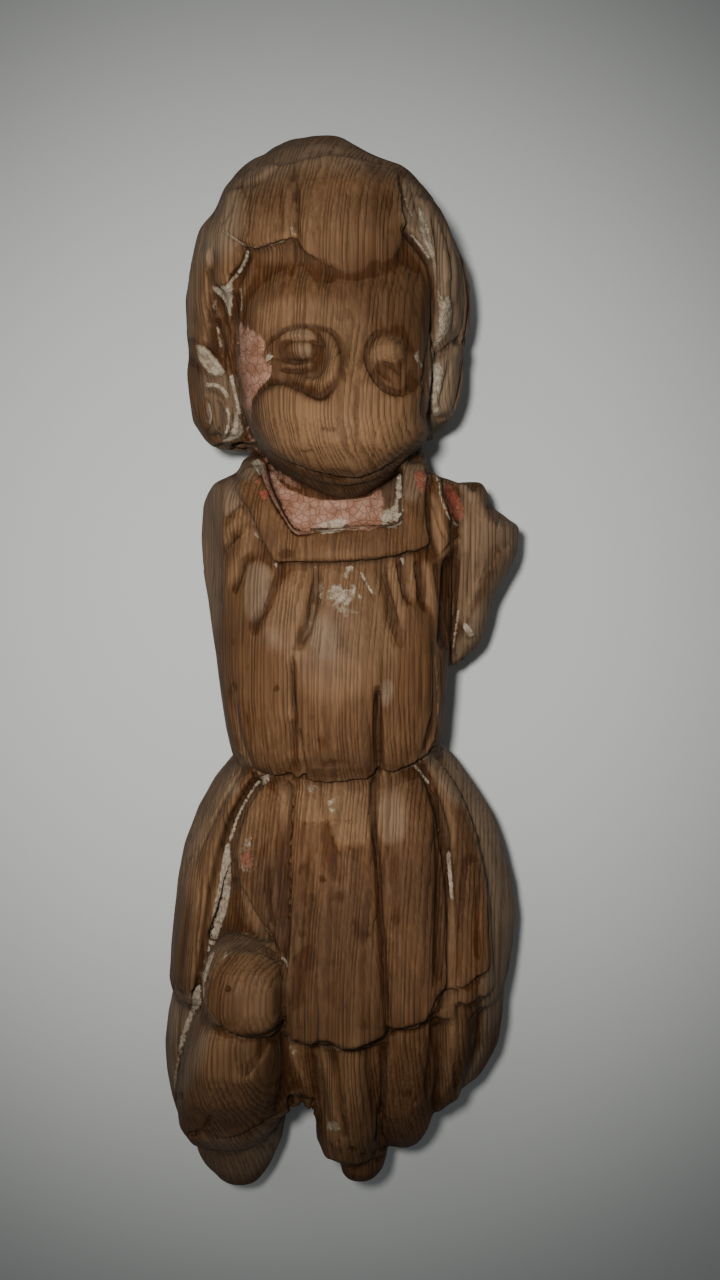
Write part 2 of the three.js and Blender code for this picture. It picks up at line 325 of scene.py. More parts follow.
def inside(points: np.ndarray, outline: np.ndarray) -> np.ndarray:
    """Tells which points lie inside a closed outline."""
    within = np.zeros(len(points), dtype=bool)
    x, y = points[:, 0], points[:, 1]
    for (x0, y0), (x1, y1) in zip(outline, np.roll(outline, -1, axis=0)):
        crosses = (y0 > y) != (y1 > y)
        if y1 != y0:
            within ^= crosses & (x < (x1 - x0) * (y - y0) / (y1 - y0) + x0)
    return within


@dataclass
class Surface:
    """A mesh's points while they are carved or coloured, in millimetres."""

    mesh: bpy.types.Mesh
    lens: Lens
    points: np.ndarray = field(init=False)
    normals: np.ndarray = field(init=False)
    facing: np.ndarray = field(init=False)

    def __post_init__(self) -> None:
        """Reads the mesh."""
        count = len(self.mesh.vertices)
        flat = np.empty(count * 3)
        self.mesh.vertices.foreach_get("co", flat)
        self.points = flat.reshape(-1, 3) / MM
        ends = np.empty(len(self.mesh.edges) * 2, dtype=int)
        self.mesh.edges.foreach_get("vertices", ends)
        self.ends = ends.reshape(-1, 2)
        self.valence = np.bincount(ends, minlength=count).astype(float)
        self.refresh()

    def refresh(self) -> None:
        """Recomputes normals and views after the points have moved."""
        self.mesh.vertices.foreach_set("co", (self.points * MM).ravel())
        self.mesh.update()
        flat = np.empty(len(self.points) * 3)
        self.mesh.vertices.foreach_get("normal", flat)
        self.facing = flat.reshape(-1, 3)
        self.normals = self.settled(self.facing, 6)
        self.normals /= np.maximum(np.linalg.norm(self.normals, axis=1, keepdims=True), 1e-6)
        self.pixels, self.scale = self.lens.seen(self.points)
        self.open = self.unhidden()

    def settled(self, values: np.ndarray, times: int) -> np.ndarray:
        """Averages values with their neighbours' a number of times."""
        result = values.astype(float)
        a, b = self.ends[:, 0], self.ends[:, 1]
        count = len(values)
        for _ in range(times):
            columns = []
            for column in result.reshape(count, -1).T:
                total = np.bincount(a, column[b], count) + np.bincount(b, column[a], count)
                columns.append((column + total) / (1 + self.valence))
            result = np.array(columns).T.reshape(values.shape)
        return result

    def unhidden(self) -> np.ndarray:
        """How freely each point is seen in the picture, from 0 where another part covers it to 1."""
        coarse = 3
        columns = self.lens.width // coarse + 2
        cell = np.clip((self.pixels / coarse).astype(int), 0, None)
        index = cell[:, 1] * columns + cell[:, 0]
        top = np.full(index.max() + columns + 2, -np.inf)
        np.maximum.at(top, index, self.points[:, 2])
        return 1 - eased(top[index] - self.points[:, 2], 3.0, 5.0)

    def layout(self, view: View) -> tuple[np.ndarray, np.ndarray, np.ndarray]:
        """Lays the points out for marks made from one side.

        Returns:
            Two coordinates for each point, the size of one unit in millimetres, and how squarely it faces
            the carver.
        """
        square = eased(self.normals @ view.facing, 0.02, 0.4)
        if view is View.FRONT:
            return self.pixels, self.scale, square * self.open
        return self.points[:, view.plane], np.ones(len(self.points)), square

    def near(self, flat: np.ndarray, run: np.ndarray, margin: float, weight: np.ndarray) -> np.ndarray:
        """Picks the points that a mark can reach."""
        low = run.min(axis=0) - margin
        high = run.max(axis=0) + margin
        return np.nonzero(np.all((flat > low) & (flat < high), axis=1) & (weight > 0.001))[0]

    def push(self, index: np.ndarray, amount: np.ndarray) -> None:
        """Moves points along their normals, outwards where the amount is positive."""
        self.points[index] += self.normals[index] * amount[:, None]

    def mark(self, mark: Mark) -> None:
        """Makes one mark of any kind."""
        if isinstance(mark, Mound):
            self.swell(mark)
            return
        if isinstance(mark, Grab):
            self.pull(mark)
            return
        flat, scale, weight = self.layout(mark.view)
        if isinstance(mark, Relief):
            run = rounded(mark.outline, 3, closed=True)
            index = self.near(flat, run, 3 * mark.border / 0.27, weight)
            place = beside(flat[index], np.vstack([run, run[:1]]))
            depth = np.where(inside(flat[index], run), 1, -1) * place.distance * scale[index]
            amount = mark.height * eased(depth, -mark.border / 2, mark.border / 2)
            self.push(index, amount * weight[index])
            return
        run = rounded(mark.path)
        reach = mark.width if isinstance(mark, Stroke) else 4 * mark.reach
        index = self.near(flat, run, reach / 0.27, weight)
        place = beside(flat[index], run)
        away = place.distance * scale[index]
        ends = eased(np.minimum(place.along, 1 - place.along), -0.02, max(mark.fade, 0.001))
        if isinstance(mark, Stroke):
            half = mark.width / 2
            t = np.clip(away / half, 0.0, 1.0)
            shapes = {Profile.VEE: 1 - t, Profile.GOUGE: (1 - t**2) ** 1.5, Profile.RIDGE: (1 - t**2) ** 2}
            shape = shapes[mark.profile]
            sign = 1.0 if mark.profile is Profile.RIDGE else -1.0
            self.push(index, sign * mark.depth * shape * ends * weight[index])
            return
        up = mark.rise * np.exp(-((away / mark.reach) ** 1.3))
        down = -mark.drop * np.exp(-((away / (0.8 * mark.reach)) ** 1.1))
        self.push(index, np.where(place.side < 0, up, down) * ends * weight[index])

    def swell(self, mark: Mound) -> None:
        """Raises or sinks a round area. Outline points count too, so a mound at the outline changes it."""
        flat = self.pixels if mark.view is View.FRONT else self.points[:, mark.view.plane]
        offset = (flat - np.array(mark.centre)) / np.array(mark.halves)
        away = (np.abs(offset) ** mark.squareness).sum(axis=1)
        shown = self.open if mark.view is View.FRONT else eased(self.normals @ mark.view.facing, -0.1, 0.3)
        index = np.nonzero((away < 1) & (self.points[:, 2] > mark.lowest) & (shown > 0.01))[0]
        self.push(index, mark.height * (1 - away[index]) ** 2 * shown[index])

    def pull(self, mark: Grab) -> None:
        """Moves a round area across the picture, most in its middle. Heights stay."""
        offset = (self.pixels - np.array(mark.centre)) / np.array(mark.halves)
        away = (offset**2).sum(axis=1)
        index = np.nonzero(away < 1)[0]
        amount = (1 - away[index]) ** 2 * self.scale[index]
        self.points[index, 0] += mark.shift[0] * amount
        self.points[index, 1] -= mark.shift[1] * amount

    def carve(self, marks: Iterable[Mark]) -> None:
        """Makes a list of marks and settles the surface's normals."""
        for mark in marks:
            self.mark(mark)
        self.refresh()

    def coat(self, colours: Iterable[Colour], coat: Coat) -> np.ndarray:
        """Adds up the marks of one colour.

        Returns:
            How much of the colour each point holds, from 0 to 1.
        """
        flat, scale, weight = self.layout(View.FRONT)
        seen = np.minimum(1.0, weight * 3)
        amount = np.zeros(len(self.points))
        for colour in colours:
            if colour.coat is not coat:
                continue
            if isinstance(colour, Trace):
                run = rounded(colour.path)
                index = self.near(flat, run, 2 * colour.width / 0.27, weight)
                place = beside(flat[index], run)
                away = place.distance * scale[index] / (colour.width / 2)
                ends = eased(np.minimum(place.along, 1 - place.along), -0.05, 0.12)
                level = (1 - eased(away, 0.4, 1.6)) * ends
            else:
                run = rounded(colour.outline, 3, closed=True)
                index = self.near(flat, run, 3 * colour.border / 0.27, weight)
                place = beside(flat[index], np.vstack([run, run[:1]]))
                depth = np.where(inside(flat[index], run), 1, -1) * place.distance * scale[index]
                level = eased(depth, -colour.border, colour.border)
            level = level * colour.strength * seen[index]
            amount[index] = np.maximum(amount[index], level)
        return amount

    def hollowness(self, times: int) -> np.ndarray:
        """How far each point lies below the average of its surroundings, in millimetres."""
        return ((self.settled(self.points, times) - self.points) * self.facing).sum(axis=1)


# Marks of the carver and of wear, part by part, each under its own name: picture pixels on the front,
# millimetres on the other sides


@dataclass
class Head:
    """The head: hair in locks and curls, a worn face with round eye hollows, and the chin."""

    def first_cuts(self) -> Marks:
        """The main forms."""
        gouge = Profile.GOUGE
        return {
            "crown": Grab((374, 148), (46, 34), (-7, 5)),
            "crown notch": Grab((268, 158), (14, 12), (2, 3)),
            "temple": Grab((212, 205), (20, 30), (4, 2)),
            "jaw": Grab((420, 438), (22, 26), (8, 1)),
            "left socket": Mound((325, 362), (27, 30), 2.0, 60),
            "right socket": Mound((392, 358), (24, 28), 1.0, 60),
            "fringe": Step(((236, 240), (248, 247), (260, 247), (274, 243), (288, 239), (297, 238)),
                0.8, 1.3),
            "forelock": Step(((297, 236), (303, 248), (314, 257), (326, 263), (342, 269)), 0.7, 0.8),
            "forelock right": Step(((406, 230), (402, 205), (399, 185), (397, 168)), 0.6, 1.0, 4),
            "long lock": Step(((216, 356), (208, 344), (207, 310), (208, 270), (211, 244)), 0.9, 1.4, 4),
            "top lobe": Step(((236, 187), (246, 183), (257, 179), (270, 170), (282, 158)), 0.5, 0.9, 4),
            "face left": Stroke(((247, 250), (240, 268), (234, 290), (231, 320), (232, 350), (234, 385),
                (240, 412), (246, 434)), 4.2, 2.2, gouge, 0.1),
            "face right": Stroke(((404, 224), (420, 244), (432, 262), (437, 290), (437, 320), (434, 345),
                (430, 370), (427, 400), (426, 424)), 4.0, 2.4, gouge, 0.1),
            "left cheek": Step(((339, 380), (331, 391), (320, 397), (306, 392), (294, 385), (280, 382),
                (266, 386), (258, 394), (253, 410)), 0.5, 1.7, 5, 0.15),
            "left bag": Stroke(((254, 404), (259, 392), (267, 385), (280, 382), (294, 385), (306, 392),
                (320, 397), (331, 391), (340, 378)), 3.4, 0.9, gouge, 0.15),
            "right cheek": Step(((427, 380), (414, 391), (401, 396), (388, 390), (378, 380), (371, 368)),
                0.4, 1.6, 5, 0.15),
            "jaw edge": Step(((250, 424), (257, 440), (270, 452), (286, 461), (302, 467), (320, 473),
                (337, 477), (356, 478), (374, 473), (390, 464), (408, 452), (422, 438)), 0.2, 2.4, 5),
            "sunk curls": Relief(((209, 292), (221, 294), (230, 320), (231, 366), (221, 356), (212, 344)),
                -2.0, 3.0),
            "upper crescent": Relief(((195, 343), (204, 345), (214, 353), (226, 372), (216, 377),
                (206, 371), (199, 360)), 1.3, 1.0),
            "lobe gap": Stroke(((432, 358), (444, 354), (452, 348), (459, 342), (470, 337)),
                2.8, 2.6, Profile.VEE, 0.05),
            "lobe overlap": Step(((468, 338), (459, 343), (452, 349), (444, 355), (432, 359)),
                0.3, 1.0, 4, 0.05),
        }

    def fine_cuts(self) -> Marks:
        """Locks, lids and wear."""
        return {**self.left_hair(), **self.right_hair(), **self.left_eye(), **self.right_eye(), **self.face()}

    def left_hair(self) -> Marks:
        """Grooves between the locks on the viewer's left, and in the middle."""
        vee, gouge, ridge = Profile.VEE, Profile.GOUGE, Profile.RIDGE
        return {
            "parting": Stroke(((295, 180), (297, 205), (296, 224), (300, 240)), 2.0, 1.4, vee),
            "parting bank": Stroke(((290, 184), (291, 208), (291, 234)), 2.6, 0.6, ridge),
            "second lock": Stroke(((284, 188), (282, 210), (284, 236)), 1.4, 0.6, gouge),
            "third lock": Stroke(((250, 186), (247, 205), (247, 226), (246, 240)), 1.8, 0.9, gouge),
            "fourth lock": Stroke(((234, 192), (229, 210), (221, 226)), 1.6, 0.8, gouge),
            "fringe left": Stroke(((218, 227), (228, 234), (238, 241), (248, 248)), 1.4, 1.0, vee),
            "temple lock": Stroke(((248, 250), (245, 262), (238, 273), (228, 282), (214, 290)),
                1.6, 1.2, vee),
            "temple fold": Step(((222, 276), (232, 272), (240, 264), (243, 252)), 0.5, 0.5, 3),
            "curl": Stroke(((213, 292), (221, 306), (226, 322), (231, 340)), 1.6, 1.0, gouge),
            "curl bank": Stroke(((215, 298), (218, 308), (221, 320)), 1.8, 0.8, ridge),
            "lower curl": Stroke(((214, 318), (220, 334), (224, 350), (230, 364)), 1.6, 1.0, gouge),
            "lower bank": Stroke(((217, 324), (219, 336), (221, 350)), 1.3, 0.8, ridge),
            "crescent edge": Stroke(((193, 341), (204, 343), (214, 350), (222, 361), (230, 374)),
                1.2, 1.1, vee),
            "crescent cup": Stroke(((201, 350), (207, 359), (214, 367), (222, 372)), 1.4, 0.6, gouge),
            "small crescent": Stroke(((204, 385), (214, 385), (222, 389), (229, 399)), 2.0, 0.9, ridge),
            "small crescent gap": Stroke(((200, 391), (212, 392), (220, 398), (227, 408)), 1.4, 0.9, vee),
            "face seam": Stroke(((232, 372), (234, 388), (237, 402), (240, 416), (243, 428)),
                1.2, 0.6, ridge),
            "flow": Stroke(((204, 396), (209, 408), (210, 422), (206, 436)), 1.5, 0.9, gouge),
            "second flow": Stroke(((216, 398), (221, 410), (221, 424), (217, 440)), 2.0, 1.1, gouge),
            "third flow": Stroke(((226, 408), (229, 418), (227, 430), (222, 440)), 1.4, 0.7, ridge),
            "fourth flow": Stroke(((233, 412), (235, 424), (230, 436)), 1.4, 0.8, gouge),
            "left notch": Mound((190, 341), (6, 5), -1.0),
            "broken edge": Mound((241, 449), (14, 7), -2.4),
            "broken tip": Mound((222, 447), (9, 5), -1.2),
        }

    def right_hair(self) -> Marks:
        """Grooves between the locks on the viewer's right."""
        vee, gouge, ridge = Profile.VEE, Profile.GOUGE, Profile.RIDGE
        return {
            "top strand": Stroke(((399, 176), (404, 192), (408, 206), (413, 216)), 1.5, 0.9, gouge),
            "wedge": Step(((404, 222), (408, 230), (418, 240), (426, 252), (434, 262)), 0.5, 0.8, 3),
            "second strand": Stroke(((411, 184), (415, 200), (418, 212), (423, 222)), 1.3, 0.8, vee),
            "third strand": Stroke(((420, 200), (425, 214), (428, 230), (431, 244)), 1.6, 1.0, gouge),
            "strand hook": Stroke(((418, 233), (423, 230), (427, 224)), 1.0, 0.7, vee),
            "long strand": Stroke(((431, 214), (437, 232), (439, 252), (440, 276), (441, 292)),
                2.0, 1.3, gouge),
            "long bank": Stroke(((442, 246), (446, 264), (447, 284)), 2.6, 0.7, ridge),
            "outer strand": Stroke(((440, 218), (448, 240), (452, 262), (453, 290), (453, 312)),
                1.6, 1.0, gouge),
            "far strand": Stroke(((452, 240), (459, 262), (462, 290), (462, 320)), 1.4, 0.6, gouge),
            "lock end": Step(((452, 300), (446, 300), (440, 295), (437, 286)), 0.5, 0.6, 3),
            "outer grain": Stroke(((456, 300), (455, 318), (452, 334)), 1.2, 0.7, gouge),
            "lobe split": Stroke(((447, 358), (449, 368), (445, 384), (441, 400), (446, 413)),
                1.6, 1.1, gouge),
            "lobe foot": Step(((446, 419), (436, 420), (429, 414), (428, 404)), 0.4, 0.8, 3),
            "right notch": Mound((469, 342), (8, 5), -2.4),
            "lobe bump": Mound((437, 388), (9, 24), 0.7),
        }

    def left_eye(self) -> Marks:
        """The eye on the viewer's left, whole but worn."""
        vee, gouge, ridge = Profile.VEE, Profile.GOUGE, Profile.RIDGE
        return {
            "brow arc": Stroke(((257, 360), (264, 348), (272, 338), (284, 330), (298, 326), (312, 327),
                (326, 329), (336, 336), (341, 348), (342, 362), (339, 374), (333, 384)),
                2.0, 0.9, gouge, 0.25),
            "upper lid": Mound((299, 337), (25, 13), 1.3, 60),
            "lid fold": Stroke(((311, 328), (318, 335), (322, 342), (327, 348)), 1.3, 0.8, vee),
            "eyeball": Mound((300, 352), (12, 10), 1.1, 60),
            "lid edge": Stroke(((278, 350), (286, 343), (296, 341), (306, 341), (316, 343), (326, 348)),
                1.2, 1.1, vee),
            "inner corner": Stroke(((313, 343), (314, 350), (310, 359)), 1.3, 0.9, vee),
            "outer corner": Stroke(((283, 346), (281, 353), (286, 360)), 1.0, 0.6, vee),
            "lower lid": Stroke(((269, 357), (284, 360), (298, 362), (310, 361), (319, 357)),
                1.2, 0.9, vee),
            "lower lid bank": Stroke(((283, 365), (298, 367), (315, 365)), 1.4, 0.6, ridge),
            "under lid": Stroke(((276, 368), (290, 371), (304, 371), (317, 367)), 1.3, 0.8, vee),
            "eye bag": Stroke(((323, 334), (331, 342), (334, 354), (332, 368), (324, 380), (308, 384),
                (292, 379)), 4.6, 1.1, ridge),
        }

    def right_eye(self) -> Marks:
        """The eye on the viewer's right, mostly rubbed away."""
        vee, gouge = Profile.VEE, Profile.GOUGE
        return {
            "right ball": Mound((387, 350), (20, 17), 1.4, 60),
            "right rim": Stroke(((386, 330), (376, 334), (369, 344), (367, 356), (370, 368), (377, 380),
                (387, 389), (400, 395)), 2.4, 1.2, gouge),
            "right lid": Stroke(((372, 354), (384, 352), (397, 349)), 0.9, 0.6, vee),
            "right crease": Stroke(((380, 362), (390, 365), (402, 376)), 1.1, 0.9, vee),
            "right bag": Stroke(((374, 364), (383, 374), (395, 383)), 1.0, 0.7, vee),
        }

    def face(self) -> Marks:
        """The mouth, splits and scratches."""
        vee, gouge, ridge = Profile.VEE, Profile.GOUGE, Profile.RIDGE
        return {
            "mouth": Stroke(((321, 428), (329, 430), (337, 429)), 1.0, 0.7, vee),
            "split": Stroke(((357, 382), (357, 405), (357, 430), (356, 456)), 1.2, 1.2, vee),
            "chip": Stroke(((370, 431), (374, 432), (376, 436), (374, 466)), 0.9, 0.6, vee),
            "scratch": Stroke(((300, 452), (306, 453), (312, 450)), 1.0, 0.7, vee),
            "under jaw": Stroke(((256, 446), (270, 461), (288, 473), (308, 482), (325, 487), (345, 489),
                (368, 486), (386, 478), (402, 466)), 2.6, 1.2, gouge),
        }

    def colours(self) -> Colours:
        """Remains of ground and flesh paint, bare worn wood, and painted shade in the grooves and under the
        chin.
        """
        gesso, pale, grey, dark = Coat.GESSO, Coat.PALE, Coat.GREY, Coat.DARK
        return {
            "temple flesh": Patch(Coat.FLESH, ((240, 322), (250, 328), (262, 336), (266, 346), (263, 357),
                (271, 364), (272, 376), (264, 384), (256, 394), (250, 404), (244, 395), (238, 370),
                (236, 345)), 0.8, 0.8),
            "jaw flesh": Patch(Coat.FLESH, ((240, 396), (252, 402), (252, 424), (258, 444), (266, 456),
                (258, 454), (246, 432)), 0.55, 0.8),
            "temple rim": Trace(gesso, ((264, 340), (264, 350), (262, 357), (270, 362), (273, 372)),
                0.7, 0.55),
            "eye corner": Trace(gesso, ((267, 358), (272, 356)), 1.0, 0.9),
            "seam ground low": Trace(gesso, ((231, 374), (234, 388), (237, 402), (240, 416)), 1.1, 0.95),
            "seam corner": Patch(gesso, ((236, 412), (240, 418), (244, 432), (236, 440), (222, 442),
                (230, 432)), 0.75, 1),
            "hairline ground": Trace(gesso, ((240, 286), (242, 300), (241, 312)), 0.6, 0.6),
            "triangle": Patch(gesso, ((211, 287), (222, 287), (232, 281), (232, 302), (230, 318),
                (226, 304), (220, 297)), 0.95, 0.8),
            "curl ground": Patch(gesso, ((211, 300), (217, 300), (220, 316), (215, 320)), 0.5, 1.0),
            "curl line": Trace(gesso, ((217, 325), (219, 335), (221, 348)), 0.9, 0.65),
            "fringe line": Trace(gesso, ((218, 227), (228, 234), (238, 241), (248, 247), (260, 248),
                (274, 244), (290, 239)), 0.7, 0.6),
            "temple line": Trace(gesso, ((248, 248), (246, 260), (239, 272), (229, 283)), 1.1, 0.75),
            "parting foot": Trace(gesso, ((291, 226), (294, 236)), 1.0, 0.8),
            "crescent": Patch(gesso, ((196, 345), (205, 347), (214, 355), (225, 372), (216, 376),
                (206, 370), (199, 360)), 0.85, 0.7),
            "small crescent": Trace(gesso, ((204, 385), (214, 385), (222, 389), (229, 399)), 1.5, 0.9),
            "flow line": Trace(gesso, ((208, 402), (211, 414), (209, 427)), 0.9, 0.6),
            "flow line two": Trace(gesso, ((226, 406), (229, 418), (227, 430), (222, 440)), 1.1, 0.75),
            "right wedge": Patch(gesso, ((418, 206), (424, 212), (430, 232), (435, 256), (437, 284),
                (432, 262), (424, 244), (419, 226)), 0.7, 0.9),
            "right wedge line": Trace(gesso, ((404, 224), (411, 234), (421, 247), (431, 260)), 0.9, 0.8),
            "right top": Trace(gesso, ((404, 196), (408, 208), (414, 217)), 1.0, 0.55),
            "right oval": Patch(gesso, ((437, 288), (442, 296), (452, 299), (450, 330), (440, 342),
                (433, 358), (434, 340), (438, 318)), 0.7, 1.0),
            "right lobe": Patch(gesso, ((432, 362), (444, 366), (443, 384), (438, 400), (442, 414),
                (434, 418), (429, 404), (428, 384)), 0.65, 1.0),
            "right chip": Patch(gesso, ((413, 352), (419, 358), (424, 367), (418, 363)), 0.85, 0.5),
            "parting pale": Patch(pale, ((283, 188), (290, 178), (296, 182), (297, 236), (285, 238)),
                1.0, 0.8),
            "third pale": Patch(pale, ((246, 186), (253, 190), (252, 232), (245, 238)), 0.8, 1.0),
            "hair pale": Patch(pale, ((236, 190), (300, 142), (350, 138), (396, 170), (402, 232),
                (330, 262), (250, 240)), 0.4, 5.0),
            "side hair pale": Patch(pale, ((190, 260), (216, 210), (238, 196), (240, 250), (226, 284),
                (206, 300), (194, 336)), 0.5, 3.0),
            "crown pale": Patch(pale, ((300, 160), (318, 158), (326, 172), (306, 176)), 0.6, 1.5),
            "fringe pale": Patch(pale, ((255, 246), (290, 242), (322, 262), (300, 262), (265, 262)),
                0.5, 1.5),
            "long lock pale": Patch(pale, ((192, 262), (208, 255), (208, 342), (196, 338)), 0.65, 1.5),
            "strand pale": Patch(pale, ((441, 250), (447, 250), (449, 294), (442, 292)), 1.0, 0.8),
            "lobe pale": Patch(pale, ((446, 376), (457, 374), (459, 400), (450, 412), (445, 400)),
                0.7, 1.0),
            "mouth pale": Patch(pale, ((262, 400), (285, 389), (305, 400), (330, 402), (340, 390),
                (372, 385), (392, 400), (416, 398), (416, 430), (400, 448), (372, 466), (345, 472),
                (300, 460), (268, 442)), 0.8, 2.0),
            "mouth middle": Patch(pale, ((334, 392), (352, 388), (352, 466), (336, 462)), 0.9, 1.5),
            "bright streak": Trace(pale, ((379, 384), (379, 405), (379, 430)), 0.9, 1.0),
            "brow pale": Patch(pale, ((262, 306), (300, 300), (345, 306), (366, 320), (366, 372),
                (345, 380), (338, 336), (300, 322), (264, 330)), 0.8, 3.0),
            "lid pale": Patch(pale, ((282, 338), (292, 329), (306, 329), (316, 338), (300, 340)), 1.0, 0.8),
            "ball pale": Patch(pale, ((292, 346), (308, 344), (311, 356), (296, 359)), 1.0, 0.8),
            "bag pale": Patch(pale, ((322, 334), (334, 340), (338, 356), (333, 374), (320, 385), (300, 382),
                (280, 374), (318, 372), (326, 356)), 0.9, 1.0),
            "lid line pale": Trace(pale, ((286, 365), (298, 366), (312, 364)), 1.0, 1.0),
            "right eye pale": Patch(pale, ((374, 342), (386, 336), (400, 340), (400, 360), (384, 361),
                (372, 358)), 1.0, 1.2),
            "eyeball grey": Patch(grey, ((297, 346), (307, 345), (310, 354), (300, 358)), 0.6, 0.7),
            "lid grey": Patch(grey, ((286, 334), (300, 328), (312, 336), (300, 340)), 0.4, 1.0),
            "crown grey": Patch(grey, ((250, 158), (300, 136), (345, 136), (398, 166), (384, 176),
                (330, 166), (290, 172), (244, 190)), 0.6, 4.0),
            "top lobe grey": Patch(grey, ((236, 184), (248, 166), (262, 160), (258, 176)), 0.6, 1.5),
            "left hair grey": Patch(grey, ((186, 270), (200, 228), (222, 192), (240, 180), (238, 238),
                (212, 262), (196, 270), (190, 340)), 0.75, 3.0),
            "right hair grey": Patch(grey, ((402, 176), (430, 202), (465, 262), (470, 340), (462, 400),
                (446, 424), (428, 424), (430, 350), (437, 290), (420, 244), (404, 225)), 0.75, 1.6),
            "right lobe grey": Patch(grey, ((431, 356), (462, 344), (462, 400), (446, 424), (427, 424)),
                0.6, 1.2),
            "flow grey": Patch(grey, ((200, 376), (232, 376), (242, 430), (226, 442), (206, 420)),
                0.55, 2.0),
            # Painted shade: the dark traces and patches below darken the eye creases, eye bags, mouth, split,
            # cheek and the underside of the chin.
            "left bag dark": Trace(dark, ((255, 410), (258, 394), (267, 386), (280, 382), (294, 385),
                (306, 392), (320, 397), (331, 391), (340, 378)), 2.2, 0.9),
            "right bag dark": Trace(dark, ((386, 330), (376, 334), (369, 344), (367, 356), (371, 370),
                (379, 382), (391, 391), (404, 395)), 1.6, 0.8),
            "brow dark": Trace(dark, ((264, 348), (272, 338), (284, 330), (298, 326), (312, 327),
                (326, 329), (336, 336), (341, 348), (342, 364), (338, 378)), 0.9, 0.9),
            "lid dark": Trace(dark, ((278, 350), (286, 343), (296, 341), (306, 341), (316, 343),
                (326, 348)), 0.8, 0.8),
            "corner dark": Trace(dark, ((313, 343), (314, 350), (310, 359), (298, 362), (282, 359)),
                0.9, 0.9),
            "under lid dark": Trace(dark, ((276, 368), (290, 371), (304, 371), (317, 367)), 0.9, 0.8),
            "right crease dark": Trace(dark, ((380, 362), (390, 365), (402, 377)), 0.9, 0.9),
            "mouth dark": Trace(dark, ((321, 428), (329, 430), (337, 429)), 0.8, 1.0),
            "split dark": Trace(dark, ((357, 384), (357, 420), (356, 454)), 0.7, 1.0),
            "cheek shade": Patch(dark, ((250, 404), (258, 402), (266, 442), (290, 462), (330, 474),
                (300, 470), (266, 456), (254, 430)), 0.5, 1.5),
            "chin dark": Patch(dark, ((258, 446), (284, 464), (320, 477), (352, 481), (382, 472),
                (420, 444), (404, 470), (370, 490), (345, 494), (318, 490), (280, 472)), 0.7, 1.2),
        }


